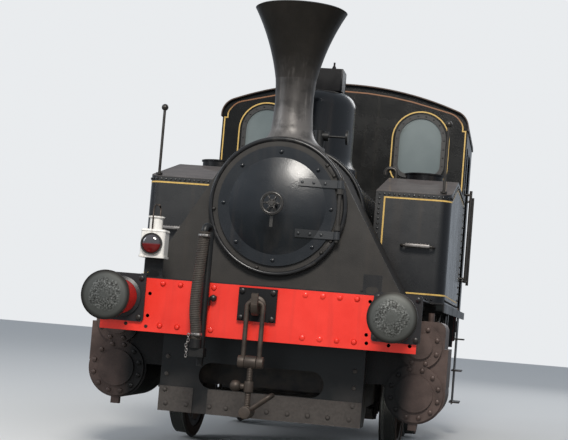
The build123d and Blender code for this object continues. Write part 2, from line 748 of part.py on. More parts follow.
# Side tanks with sloping tops, their filler necks and hinged lids
neck_outer = filler_radius + filler_wall
lid_hinge_y = filler_y + neck_outer + 45
lid_hinge_z = tank_top_z + filler_height + 2
for side, sign, angle in sides:
    tank_middle_x = sign * (tank_inner_x + tank_outer_x) / 2
    tank_width = tank_outer_x - tank_inner_x
    with BuildPart() as side_tank:
        with BuildSketch(Plane.YZ.offset(tank_middle_x)):
            with BuildLine():
                Polyline(
                    (tank_front_y, deck_top_z),
                    (cab_front_y, deck_top_z),
                    (cab_front_y, tank_top_z),
                    (tank_slope_end_y, tank_top_z),
                    (tank_front_y, tank_front_z),
                    close=True,
                )
            make_face()
        extrude(amount=tank_width / 2, both=True)
        corner = side_tank.edges().filter_by(Axis.Z).group_by(Axis.Y)[0].sort_by(Axis.X)[-1 if sign > 0 else 0]
        fillet(corner, tank_corner_radius)
    side_tank.part.label = f"side_tank_{side}"
    export_step(side_tank.part, f"parts/side_tank_{side}.step")

    with BuildPart() as tank_lid:
        with Locations((sign * filler_x, filler_y, tank_top_z + filler_height + 0.4 + lid_thickness / 2)):
            Cylinder(lid_radius, lid_thickness)
        with BuildSketch(Plane.YZ.offset(sign * filler_x)):
            with Locations((lid_hinge_y - 20, tank_top_z + filler_height + 0.4 + lid_thickness / 2)):
                Rectangle(80, lid_thickness)
            with Locations((lid_hinge_y, lid_hinge_z + 6)):
                Circle(16)
        extrude(amount=30, both=True)
        with Locations(Location((sign * filler_x, lid_hinge_y, lid_hinge_z + 6), (0, 90, 0))):
            Cylinder(8 + pin_clearance, 80, mode=Mode.SUBTRACT)
    tank_lid.part.label = f"tank_lid_{side}"
    export_step(tank_lid.part, f"parts/tank_lid_{side}.step")

with BuildPart() as filler_necks:
    for sign in (-1, 1):
        with BuildSketch(Plane.XY.offset(tank_top_z)):
            with Locations((sign * filler_x, filler_y)):
                Circle(neck_outer)
                Circle(filler_radius, mode=Mode.SUBTRACT)
        extrude(amount=filler_height)
        for ear in (-1, 1):
            with BuildSketch(Plane.YZ.offset(sign * filler_x + ear * 42)):
                with Locations((lid_hinge_y, (tank_top_z + lid_hinge_z + 6) / 2)):
                    Rectangle(32, lid_hinge_z + 6 - tank_top_z)
                with Locations((lid_hinge_y, lid_hinge_z + 6)):
                    Circle(16)
            extrude(amount=6, both=True)
        with Locations(Location((sign * filler_x, lid_hinge_y, lid_hinge_z + 6), (0, 90, 0))):
            Cylinder(8, 100)
filler_necks.part.label = "filler_necks"
export_step(filler_necks.part, "parts/filler_necks.step")

# Cab sheets: an arched end outline shared by the front and rear sheets and the roof
def roof_points(drop):
    """Where the roof arc meets the shoulder and the shoulder meets the side, lowered by drop."""
    outer_x = cab_half_width - drop
    arc_radius = roof_radius - drop
    arc_centre_z = roof_apex_z - roof_radius
    shoulder = shoulder_radius - drop
    shoulder_x = cab_half_width - shoulder_radius
    shoulder_z = arc_centre_z + sqrt((roof_radius - shoulder_radius) ** 2 - shoulder_x**2)
    angle_to_shoulder = atan2(shoulder_z - arc_centre_z, shoulder_x)
    join = (arc_radius * cos(angle_to_shoulder), arc_centre_z + arc_radius * sin(angle_to_shoulder))
    middle_angle = angle_to_shoulder / 2
    middle = (shoulder_x + shoulder * cos(middle_angle), shoulder_z + shoulder * sin(middle_angle))
    return join, middle, (outer_x, shoulder_z), roof_apex_z - drop


def end_outline(drop, bottom_z):
    """The closed arched outline of a cab end, drawn in the XZ plane."""
    join, middle, side_point, apex_z = roof_points(drop)
    Line((-side_point[0], bottom_z), (side_point[0], bottom_z))
    Line((side_point[0], bottom_z), side_point)
    ThreePointArc(side_point, middle, join)
    ThreePointArc(join, (0, apex_z), (-join[0], join[1]))
    ThreePointArc((-join[0], join[1]), (-middle[0], middle[1]), (-side_point[0], side_point[1]))
    Line((-side_point[0], side_point[1]), (-side_point[0], bottom_z))


def window_outline(half_width, bottom_z, top_z, corner):
    """A window with a round-arched head and rounded lower corners, drawn about X = 0."""
    bulge = corner * (1 - sqrt(0.5))
    Line((-half_width + corner, bottom_z), (half_width - corner, bottom_z))
    ThreePointArc(
        (half_width - corner, bottom_z),
        (half_width - bulge, bottom_z + bulge),
        (half_width, bottom_z + corner),
    )
    Line((half_width, bottom_z + corner), (half_width, top_z - half_width))
    ThreePointArc((half_width, top_z - half_width), (0, top_z), (-half_width, top_z - half_width))
    Line((-half_width, top_z - half_width), (-half_width, bottom_z + corner))
    ThreePointArc(
        (-half_width, bottom_z + corner),
        (-half_width + bulge, bottom_z + bulge),
        (-half_width + corner, bottom_z),
    )


end_sheets = (("cab_front_sheet", cab_front_y, True), ("cab_rear_sheet", cab_back_y - cab_wall, False))
for name, front_y, boiler_passes in end_sheets:
    with BuildPart() as end_sheet:
        with BuildSketch(Plane.XZ.offset(-front_y)):
            with BuildLine():
                end_outline(roof_thickness, deck_top_z)
            make_face()
            if boiler_passes:
                with Locations((0, boiler_z)):
                    Circle(boiler_radius, mode=Mode.SUBTRACT)
                with Locations((0, (deck_top_z + boiler_z) / 2)):
                    Rectangle(2 * firebox_half_width, boiler_z - deck_top_z, mode=Mode.SUBTRACT)
        extrude(amount=-cab_wall)
        for sign in (-1, 1):
            with BuildSketch(Plane((sign * window_x, front_y, 0), x_dir=(1, 0, 0), z_dir=(0, -1, 0))):
                with BuildLine():
                    window_outline(window_half_width, window_bottom_z, window_top_z, window_bottom_radius)
                make_face()
            extrude(amount=-cab_wall, mode=Mode.SUBTRACT)
    end_sheet.part.label = name
    export_step(end_sheet.part, f"parts/{name}.step")

# Window frames and glass in both cab ends
frame_border = 34
frame_depth = 14
glass_thickness = 5
with BuildPart() as window_frames:
    for y, z_dir in ((cab_front_y, -1), (cab_back_y, 1)):
        for sign in (-1, 1):
            with BuildSketch(Plane((sign * window_x, y, 0), x_dir=(1, 0, 0), z_dir=(0, -1, 0))):
                with BuildLine():
                    window_outline(
                        window_half_width + frame_border,
                        window_bottom_z - frame_border,
                        window_top_z + frame_border,
                        window_bottom_radius + frame_border,
                    )
                make_face()
                with BuildLine():
                    window_outline(
                        window_half_width - 6,
                        window_bottom_z + 6,
                        window_top_z - 6,
                        window_bottom_radius - 6,
                    )
                make_face(mode=Mode.SUBTRACT)
            extrude(amount=-z_dir * frame_depth)
window_frames.part.label = "window_frames"
export_step(window_frames.part, "parts/window_frames.step")

with BuildPart() as window_glass:
    for y in (cab_front_y + 1, cab_back_y - cab_wall + 1):
        for sign in (-1, 1):
            with BuildSketch(Plane((sign * window_x, y, 0), x_dir=(1, 0, 0), z_dir=(0, -1, 0))):
                with BuildLine():
                    window_outline(window_half_width, window_bottom_z, window_top_z, window_bottom_radius)
                make_face()
            extrude(amount=-glass_thickness)
window_glass.part.label = "window_glass"
export_step(window_glass.part, "parts/window_glass.step")

# Cab sides with their doorways and side windows
side_top_z = roof_points(0)[2][1] - 20
doorway_front_y = cab_front_y + 609
doorway_width = 620
doorway_top_z = 2780
doorway_corner = 120
side_window_front_y = cab_front_y + 129
side_window_width = 340
side_window_bottom_z = 2330
side_window_top_z = 2780
for side, sign, angle in sides:
    with BuildPart() as cab_side:
        with BuildSketch(Plane.YZ.offset(sign * (cab_half_width - roof_thickness - cab_wall / 2))):
            with Locations(((cab_front_y + cab_back_y) / 2, (deck_top_z + side_top_z) / 2)):
                Rectangle(cab_back_y - cab_front_y - 2 * cab_wall, side_top_z - deck_top_z)
            doorway_height = doorway_top_z - deck_top_z + 2 * doorway_corner
            with Locations((doorway_front_y + doorway_width / 2, doorway_top_z - doorway_height / 2)):
                RectangleRounded(doorway_width, doorway_height, doorway_corner, mode=Mode.SUBTRACT)
            window_z = (side_window_bottom_z + side_window_top_z) / 2
            with Locations((side_window_front_y + side_window_width / 2, window_z)):
                RectangleRounded(
                    side_window_width,
                    side_window_top_z - side_window_bottom_z,
                    90,
                    mode=Mode.SUBTRACT,
                )
        extrude(amount=cab_wall / 2, both=True)
    cab_side.part.label = f"cab_side_{side}"
    export_step(cab_side.part, f"parts/cab_side_{side}.step")

# Arched cab roof
with BuildPart() as cab_roof:
    with BuildSketch(Plane.XZ.offset(-(cab_front_y - roof_overhang))):
        with BuildLine():
            join, middle, side_point, apex_z = roof_points(0)
            inner_join, inner_middle, inner_side, inner_apex = roof_points(roof_thickness)
            eave_z = side_point[1] - 20
            Line((side_point[0], eave_z), side_point)
            ThreePointArc(side_point, middle, join)
            ThreePointArc(join, (0, apex_z), (-join[0], join[1]))
            ThreePointArc((-join[0], join[1]), (-middle[0], middle[1]), (-side_point[0], side_point[1]))
            Line((-side_point[0], side_point[1]), (-side_point[0], eave_z))
            Line((-side_point[0], eave_z), (-inner_side[0], eave_z))
            Line((-inner_side[0], eave_z), (-inner_side[0], inner_side[1]))
            ThreePointArc(
                (-inner_side[0], inner_side[1]),
                (-inner_middle[0], inner_middle[1]),
                (-inner_join[0], inner_join[1]),
            )
            ThreePointArc((-inner_join[0], inner_join[1]), (0, inner_apex), inner_join)
            ThreePointArc(inner_join, inner_middle, inner_side)
            Line(inner_side, (inner_side[0], eave_z))
            Line((inner_side[0], eave_z), (side_point[0], eave_z))
        make_face()
    extrude(amount=-(cab_back_y - cab_front_y + 2 * roof_overhang))
cab_roof.part.label = "cab_roof"
export_step(cab_roof.part, "parts/cab_roof.step")

# Cab floor round the back of the firebox
floor_thickness = 30
with BuildPart() as cab_floor:
    with BuildSketch(Plane.XY.offset(deck_top_z)):
        with Locations((0, (cab_front_y + cab_back_y) / 2)):
            Rectangle(
                2 * (cab_half_width - roof_thickness - cab_wall),
                cab_back_y - cab_front_y - 2 * cab_wall,
            )
        with Locations((0, (cab_front_y + boiler_back_y) / 2)):
            Rectangle(2 * firebox_half_width, boiler_back_y - cab_front_y, mode=Mode.SUBTRACT)
    extrude(amount=floor_thickness)
cab_floor.part.label = "cab_floor"
export_step(cab_floor.part, "parts/cab_floor.step")

# Driver's controls: firehole door, regulator, water gauges and brake column
firehole_z = 1560
firehole_radius = 180
regulator_z = 2120
gauge_z = 2000
brake_column_x = -700
brake_column_y = cab_front_y + 339
brake_column_height = 800
floor_top_z = deck_top_z + floor_thickness
with BuildPart() as cab_controls:
    with Locations(Location((0, boiler_back_y + 15, firehole_z), (90, 0, 0))):
        Cylinder(firehole_radius, 30)
    with Locations((0, boiler_back_y + 36, firehole_z + 20)):
        Box(150, 14, 24)
    with Locations(Location((0, boiler_back_y + 60, regulator_z), (90, 0, 0))):
        Cylinder(30, 120)
    with Locations((90, boiler_back_y + 110, regulator_z)):
        Box(360, 20, 30)
    for x in (-250, 250):
        for z in (gauge_z - 110, gauge_z + 110):
            with Locations((x, boiler_back_y + 30, z)):
                Box(36, 60, 36)
        with Locations((x, boiler_back_y + 45, gauge_z)):
            Cylinder(11, 260)
    with Locations((brake_column_x, brake_column_y, floor_top_z + brake_column_height / 2)):
        Cylinder(25, brake_column_height)
    with Locations((brake_column_x, brake_column_y, floor_top_z + 12)):
        Cylinder(60, 24)
    with Locations((brake_column_x, brake_column_y, floor_top_z + brake_column_height - 12)):
        Box(300, 24, 24)
cab_controls.part.label = "cab_controls"
export_step(cab_controls.part, "parts/cab_controls.step")

# Coal bunker behind the cab, open at the top
bunker_wall = 8
with BuildPart() as coal_bunker:
    with BuildSketch(Plane.XY.offset(deck_top_z)):
        with Locations((0, (cab_back_y + bunker_back_y) / 2)):
            Rectangle(2 * bunker_half_width, bunker_back_y - cab_back_y)
    extrude(amount=bunker_top_z - deck_top_z)
    with BuildSketch(Plane.XY.offset(deck_top_z + bunker_wall)):
        with Locations((0, (cab_back_y + bunker_back_y) / 2)):
            Rectangle(2 * (bunker_half_width - bunker_wall), bunker_back_y - cab_back_y - 2 * bunker_wall)
    extrude(amount=bunker_top_z - deck_top_z, mode=Mode.SUBTRACT)
coal_bunker.part.label = "coal_bunker"
export_step(coal_bunker.part, "parts/coal_bunker.step")

# Cab steps below the doorways
step_heights = (330, 640, 950)
step_plate_thickness = 10
step_width = 160
step_length = 420
doorway_middle_y = doorway_front_y + doorway_width / 2
with BuildPart() as cab_steps:
    for sign in (-1, 1):
        with BuildSketch(Plane.YZ.offset(sign * (deck_half_width - valance_thickness - step_plate_thickness / 2))):
            with Locations((doorway_middle_y, (step_heights[0] - 20 + deck_z) / 2)):
                Trapezoid(step_length, deck_z - step_heights[0] + 20, 92)
        extrude(amount=step_plate_thickness / 2, both=True)
        for z in step_heights:
            with Locations((sign * (deck_half_width - valance_thickness + 20), doorway_middle_y, z)):
                Box(step_width - 60, step_length - 80, 14)
cab_steps.part.label = "cab_steps"
export_step(cab_steps.part, "parts/cab_steps.step")

# Handrails beside the doorways, and on the tanks a stirrup, a ball-topped rod and a bent vent pipe
stirrup_radius = 11
stirrup_inner_x = 837
stirrup_outer_x = 1087
stirrup_z = 1648
stirrup_reach = 60
marker_x = 1127
marker_y = tank_front_y + 44
marker_radius = 11
marker_foot_radius = 26
marker_foot_thickness = 14
marker_top_z = 2610
marker_ball_radius = 27
ball_flat_radius = 6
ball_neck = sqrt(marker_ball_radius**2 - marker_radius**2)
ball_crown = sqrt(marker_ball_radius**2 - ball_flat_radius**2)
vent_radius = 18
vent_x = 655
vent_y = tank_slope_end_y + 150
vent_reach = 90
vent_height = 95
seat_gap = 0.3
tank_slope = (tank_top_z - tank_front_z) / (tank_slope_end_y - tank_front_y)
marker_foot_z = tank_front_z + tank_slope * (marker_y + marker_foot_radius - tank_front_y) + seat_gap
rail_radius = 14
rail_x = cab_half_width + 45
rail_length = 900
rail_bottom_z = 1500
with BuildPart() as handrails:
    for sign in (-1, 1):
        for y in (doorway_front_y - 60, doorway_front_y + doorway_width + 60):
            with Locations((sign * rail_x, y, rail_bottom_z + rail_length / 2)):
                Cylinder(rail_radius, rail_length)
            for z in (rail_bottom_z + 40, rail_bottom_z + rail_length - 40):
                reach = rail_x - cab_half_width + roof_thickness
                with Locations(Location((sign * (rail_x - reach / 2), y, z), (0, 90, 0))):
                    Cylinder(rail_radius - 2, reach)
        with BuildLine() as stirrup_path:
            FilletPolyline(
                (sign * stirrup_inner_x, tank_front_y - seat_gap, stirrup_z),
                (sign * stirrup_inner_x, tank_front_y - stirrup_reach, stirrup_z),
                (sign * stirrup_outer_x, tank_front_y - stirrup_reach, stirrup_z),
                (sign * stirrup_outer_x, tank_front_y - seat_gap, stirrup_z),
                radius=2 * stirrup_radius,
            )
        with BuildSketch(Plane(stirrup_path.line @ 0, z_dir=stirrup_path.line % 0)):
            Circle(stirrup_radius)
        sweep()
        with BuildSketch(Plane.XZ.offset(-marker_y)):
            with BuildLine():
                x = sign * marker_x
                Polyline(
                    (x, marker_top_z + ball_crown),
                    (x, marker_foot_z),
                    (x + marker_foot_radius, marker_foot_z),
                    (x + marker_foot_radius, marker_foot_z + marker_foot_thickness),
                    (x + marker_radius, marker_foot_z + marker_foot_thickness),
                    (x + marker_radius, marker_top_z - ball_neck),
                )
                ThreePointArc(
                    (x + marker_radius, marker_top_z - ball_neck),
                    (x + marker_ball_radius, marker_top_z),
                    (x + ball_flat_radius, marker_top_z + ball_crown),
                )
                Line((x + ball_flat_radius, marker_top_z + ball_crown), (x, marker_top_z + ball_crown))
            make_face()
        revolve(axis=Axis((x, marker_y, 0), (0, 0, 1)))
        with BuildLine() as vent_path:
            FilletPolyline(
                (sign * vent_x, vent_y, tank_top_z + seat_gap),
                (sign * vent_x, vent_y, tank_top_z + vent_height),
                (sign * (vent_x - vent_reach), vent_y, tank_top_z + vent_height),
                (sign * (vent_x - vent_reach), vent_y, tank_top_z + vent_height - 2 * vent_radius - 20),
                radius=2 * vent_radius,
            )
        with BuildSketch(Plane(vent_path.line @ 0, z_dir=vent_path.line % 0)):
            Circle(vent_radius)
        sweep()
handrails.part.label = "handrails"
export_step(handrails.part, "parts/handrails.step")

# Cylinders with the steam chests above them
chest_x = cylinder_x + 15
chest_outer_x = cylinder_x + 187
chest_corner = 60
casing_bottom_z = 610
casing_top_z = 890
with BuildPart() as cylinders:
    for sign in (-1, 1):
        with BuildSketch(Plane.XZ.offset(-cylinder_front_y)):
            with Locations((sign * cylinder_x, axle_z)):
                Circle(cylinder_radius)
            with Locations(
                (
                    sign * (frame_outer_x + cylinder_x + cylinder_radius) / 2,
                    (casing_bottom_z + casing_top_z) / 2,
                )
            ):
                Rectangle(cylinder_x + cylinder_radius - frame_outer_x, casing_top_z - casing_bottom_z)
            with Locations(
                (
                    sign * (chest_outer_x - chest_corner) / 2 + sign * frame_outer_x / 2,
                    (casing_top_z + chest_top_z) / 2,
                )
            ):
                Rectangle(chest_outer_x - chest_corner - frame_outer_x, chest_top_z - casing_top_z)
            with Locations((sign * (chest_outer_x - chest_corner), (casing_top_z + chest_top_z) / 2)):
                RectangleRounded(2 * chest_corner, chest_top_z - casing_top_z, chest_corner - 1)
            with Locations((sign * (chest_outer_x - chest_corner), casing_top_z + 30)):
                Rectangle(2 * chest_corner, 60)
        extrude(amount=-cylinder_length)
        with BuildSketch(Plane.XZ.offset(-cylinder_front_y)):
            with Locations((sign * cylinder_x, axle_z - cylinder_radius - 14)):
                Rectangle(60, 60)
        extrude(amount=-50)
        with Locations((sign * (chest_x + 60), cylinder_front_y + 90, chest_top_z + 30)):
            Cylinder(22, 60)
cylinders.part.label = "cylinders"
export_step(cylinders.part, "parts/cylinders.step")

# Cylinder and chest covers: columns sign of the end, first radius and depth, second radius and depth
cover_radius = 200
cover_thickness = 28
cover_boss_radius = 130
cover_boss_thickness = 22
gland_length = 60
with BuildPart() as cylinder_covers:
    for sign in (-1, 1):
        for y, direction in ((cylinder_front_y, -1), (cylinder_back_y, 1)):
            face = Plane((sign * cylinder_x, y, axle_z), x_dir=(1, 0, 0), z_dir=(0, direction, 0))
            with BuildSketch(face):
                Circle(cover_radius)
            extrude(amount=cover_thickness)
            with BuildSketch(face.offset(cover_thickness)):
                Circle(cover_boss_radius if direction < 0 else 70)
            extrude(amount=cover_boss_thickness if direction < 0 else gland_length)
            chest = Plane((sign * chest_x, y, chest_z), x_dir=(1, 0, 0), z_dir=(0, direction, 0))
            with BuildSketch(chest):
                Circle(chest_cover_radius)
            extrude(amount=cover_thickness)
            with BuildSketch(chest.offset(cover_thickness)):
                Circle(90 if direction < 0 else 45)
            extrude(amount=cover_boss_thickness)
cylinder_covers.part.label = "cylinder_covers"
export_step(cylinder_covers.part, "parts/cylinder_covers.step")

# Guide bars between the rear cylinder covers and the motion brackets
guide_front_y = cylinder_back_y + cover_thickness
with BuildPart() as guide_bars:
    for sign in (-1, 1):
        for side_z in (-1, 1):
            z = axle_z + side_z * (guide_gap + guide_height / 2)
            with Locations((sign * cylinder_x, (guide_front_y + guide_back_y) / 2, z)):
                Box(guide_width, guide_back_y - guide_front_y, guide_height)
guide_bars.part.label = "guide_bars"
export_step(guide_bars.part, "parts/guide_bars.step")

# Crossheads with their piston rods
crosshead_gap = 0.5
crosshead_pin_radius = 32
crosshead_arm_thickness = 14
union_link_z = axle_z - 128
piston_rod_front_y = cylinder_back_y + cover_thickness + gland_length
with BuildPart() as crossheads:
    for side, sign, angle in sides:
        y = crosshead_y(angle)
        with Locations((sign * cylinder_x, y, axle_z)):
            Box(guide_width, 2 * crosshead_half_length, 2 * (guide_gap - crosshead_gap))
        with Locations((sign * cylinder_x, y + 20, axle_z)):
            Box(connecting_rod_width + 4, 2 * crosshead_half_length, 240, mode=Mode.SUBTRACT)
        with Locations(Location((sign * cylinder_x, y, axle_z), (0, 90, 0))):
            Cylinder(crosshead_pin_radius, guide_width)
        arm_x = cylinder_x + guide_width / 2 + crosshead_arm_thickness / 2
        with Locations((sign * arm_x, y, (axle_z + union_link_z) / 2)):
            Box(crosshead_arm_thickness, 60, axle_z - union_link_z + 60)
        rod_end = y - crosshead_half_length
        with Locations(
            Location((sign * cylinder_x, (piston_rod_front_y + rod_end) / 2, axle_z), (90, 0, 0))
        ):
            Cylinder(piston_rod_radius, rod_end - piston_rod_front_y)
crossheads.part.label = "crossheads"
export_step(crossheads.part, "parts/crossheads.step")

# Connecting rods from the crossheads to the rear crank pins
rod_height = 90
big_end_radius = 95
small_end_radius = 55
with BuildPart() as connecting_rods:
    for side, sign, angle in sides:
        pin_y, pin_z = crank_point(rear_axle_y, crank_throw, angle)
        head_y = crosshead_y(angle)
        tilt = degrees(atan2(pin_z - axle_z, pin_y - head_y))
        rod_plane = Plane(
            (sign * cylinder_x, head_y, axle_z),
            x_dir=(0, cos(radians(tilt)), sin(radians(tilt))),
            z_dir=(1, 0, 0),
        )
        with BuildSketch(rod_plane):
            with Locations((connecting_rod_length / 2, 0)):
                Rectangle(connecting_rod_length, rod_height)
            Circle(small_end_radius)
            with Locations((connecting_rod_length, 0)):
                Circle(big_end_radius)
                Circle(crank_pin_radius + pin_clearance, mode=Mode.SUBTRACT)
            Circle(crosshead_pin_radius + pin_clearance, mode=Mode.SUBTRACT)
        extrude(amount=connecting_rod_width / 2, both=True)
connecting_rods.part.label = "connecting_rods"
export_step(connecting_rods.part, "parts/connecting_rods.step")

# Motion brackets: a yoke for the guide bars and a hanger for each expansion link
bracket_thickness = 24
yoke_inner_x = cylinder_x - 67
yoke_waist_z = 770
yoke_top_outer_x = cylinder_x + 23
yoke_outer_x = cylinder_x + 63
yoke_bottom_z = axle_z - 200
hanger_thickness = 12
link_y = front_axle_y + 610
link_z = 940
with BuildPart() as motion_brackets:
    for sign in (-1, 1):
        with BuildSketch(Plane.XZ.offset(-guide_back_y)):
            with Locations((sign * (yoke_inner_x + yoke_top_outer_x) / 2, (yoke_bottom_z + deck_z) / 2)):
                Rectangle(yoke_top_outer_x - yoke_inner_x, deck_z - yoke_bottom_z)
            with Locations((sign * (yoke_inner_x + yoke_outer_x) / 2, (yoke_bottom_z + yoke_waist_z) / 2)):
                Rectangle(yoke_outer_x - yoke_inner_x, yoke_waist_z - yoke_bottom_z)
            with Locations((sign * cylinder_x, axle_z)):
                Rectangle(guide_width + 10, 2 * guide_gap + 2, mode=Mode.SUBTRACT)
        extrude(amount=-bracket_thickness)
        with BuildSketch(Plane.YZ.offset(sign * hanger_x)):
            with Locations((link_y, (link_z + deck_z) / 2)):
                Rectangle(110, deck_z - link_z)
            with Locations((link_y, link_z)):
                Circle(55)
        extrude(amount=hanger_thickness / 2, both=True)
motion_brackets.part.label = "motion_brackets"
export_step(motion_brackets.part, "parts/motion_brackets.step")

# Valve gear on each side: the eccentric rod swings the expansion link about its trunnion, the radius
# rod takes that motion forward to the combination lever, and the union link adds the crosshead's
gear_pin_radius = 22
gear_rod_width = 26
eccentric_rod_length = rear_axle_y - link_y
link_plate_x = eccentric_rod_x - 2
link_plate_width = 20
link_plate_height = 84
link_slot_height = 42
link_half_length = 170
link_tail_length = 300
die_drop = 60
radius_rod_x = link_plate_x - 42
radius_rod_width = 20
lever_x = link_plate_x - 18
lever_width = 18
lever_pin_y = cylinder_back_y + 330
lever_top_rise = 60
union_link_x = link_plate_x + 4
union_link_width = 16
union_link_length = 280
valve_spindle_radius = 18
lifting_arm_reach = 90


def lower_meeting_point(first, first_radius, second, second_radius):
    """The lower point that lies at these two distances from two centres in the YZ plane."""
    run_y, run_z = second[0] - first[0], second[1] - first[1]
    gap = hypot(run_y, run_z)
    along = (gap**2 + first_radius**2 - second_radius**2) / (2 * gap)
    across = sqrt(first_radius**2 - along**2)
    return first[0] + (along * run_y + across * run_z) / gap, first[1] + (along * run_z - across * run_y) / gap


with BuildPart() as valve_gear:
    for side, sign, angle in sides:
        trunnion = (link_y, link_z)
        return_pin = crank_point(rear_axle_y, return_crank_throw, angle - 90)
        tail = lower_meeting_point(trunnion, link_tail_length, return_pin, eccentric_rod_length)
        die = (
            trunnion[0] + (tail[0] - trunnion[0]) * die_drop / link_tail_length,
            trunnion[1] + (tail[1] - trunnion[1]) * die_drop / link_tail_length,
        )
        union_front = (crosshead_y(angle) - union_link_length, union_link_z)
        union_back = (crosshead_y(angle), union_link_z)
        valve_pin = (lever_pin_y, chest_z)
        lever_scale = 1 + lever_top_rise / (chest_z - union_link_z)
        lever_top = (
            union_front[0] + (valve_pin[0] - union_front[0]) * lever_scale,
            chest_z + lever_top_rise,
        )
        lift_pin = (weighshaft_y - lifting_arm_reach, weighshaft_z - 30)
        lift_share = (lift_pin[0] - lever_top[0]) / (die[0] - lever_top[0])
        lift_foot = (lift_pin[0], lever_top[1] + (die[1] - lever_top[1]) * lift_share)
        # Columns: plane X, bar width, first pin (y, z), second pin (y, z), bar height, bore at second pin
        bars = (
            (eccentric_rod_x, gear_rod_width, tail, return_pin, 54, gear_pin_radius + pin_clearance),
            (radius_rod_x, radius_rod_width, lever_top, die, 44, 0),
            (lever_x, lever_width, lever_top, union_front, 46, 0),
            (union_link_x, union_link_width, union_front, union_back, 40, 0),
            (radius_rod_x, radius_rod_width, (weighshaft_y, weighshaft_z), lift_pin, 44, 0),
            (radius_rod_x, radius_rod_width, lift_pin, lift_foot, 36, 0),
        )
        for x, width, start, end, height, bore in bars:
            run_y, run_z = end[0] - start[0], end[1] - start[1]
            length = hypot(run_y, run_z)
            bar_plane = Plane((sign * x, *start), x_dir=(0, run_y / length, run_z / length), z_dir=(1, 0, 0))
            with BuildSketch(bar_plane):
                with Locations((length / 2, 0)):
                    SlotOverall(length + height, height)
                if bore:
                    with Locations((length, 0)):
                        Circle(bore + 16)
                        Circle(bore, mode=Mode.SUBTRACT)
            extrude(amount=width / 2, both=True)
        # Columns: inner X, outer X, place (y, z), radius
        pins = (
            (radius_rod_x - 14, link_plate_x + 14, die, 16),
            (link_plate_x - 14, hanger_x - hanger_thickness / 2, trunnion, 26),
            (radius_rod_x - 14, lever_x + 13, lever_top, 14),
            (chest_x, lever_x + 13, valve_pin, 14),
            (lever_x - 13, union_link_x + 12, union_front, 13),
            (cylinder_x + guide_width / 2 + crosshead_arm_thickness, union_link_x + 12, union_back, 13),
        )
        for inner_x, outer_x, place, radius in pins:
            with Locations(Location((sign * (inner_x + outer_x) / 2, *place), (0, 90, 0))):
                Cylinder(radius, outer_x - inner_x)
        with BuildSketch(
            Plane(
                (sign * link_plate_x, *trunnion),
                x_dir=(0, (tail[0] - trunnion[0]) / link_tail_length, (tail[1] - trunnion[1]) / link_tail_length),
                z_dir=(1, 0, 0),
            )
        ):
            link_bow = link_half_length**2 / (2 * (link_y - lever_pin_y))
            with BuildLine(mode=Mode.PRIVATE) as link_curve:
                ThreePointArc((-link_half_length, -link_bow), (0, 0), (link_half_length, -link_bow))
            with BuildLine(mode=Mode.PRIVATE) as slot_curve:
                ThreePointArc(
                    (-link_half_length * 0.8, -link_bow * 0.64),
                    (0, 0),
                    (link_half_length * 0.8, -link_bow * 0.64),
                )
            SlotArc(link_curve.edge(), link_plate_height)
            SlotArc(slot_curve.edge(), link_slot_height, mode=Mode.SUBTRACT)
            with Locations(((link_half_length + link_tail_length) / 2, 0)):
                Rectangle(link_tail_length - link_half_length, 50)
            with Locations((link_tail_length, 0)):
                Circle(34)
            with Locations((die_drop, 0)):
                Rectangle(60, link_slot_height + 4)
            Rectangle(36, link_slot_height + 4)
        extrude(amount=link_plate_width / 2, both=True)
        spindle_front_y = cylinder_back_y + cover_thickness + cover_boss_thickness
        with Locations(Location((sign * chest_x, (spindle_front_y + lever_pin_y) / 2, chest_z), (90, 0, 0))):
            Cylinder(valve_spindle_radius, lever_pin_y - spindle_front_y)
        with Locations((sign * chest_x, lever_pin_y, chest_z)):
            Box(44, 80, 60)
    with Locations(Location((0, weighshaft_y, weighshaft_z), (0, 90, 0))):
        Cylinder(weighshaft_radius, 2 * (radius_rod_x + 14))
valve_gear.part.label = "valve_gear"
export_step(valve_gear.part, "parts/valve_gear.step")

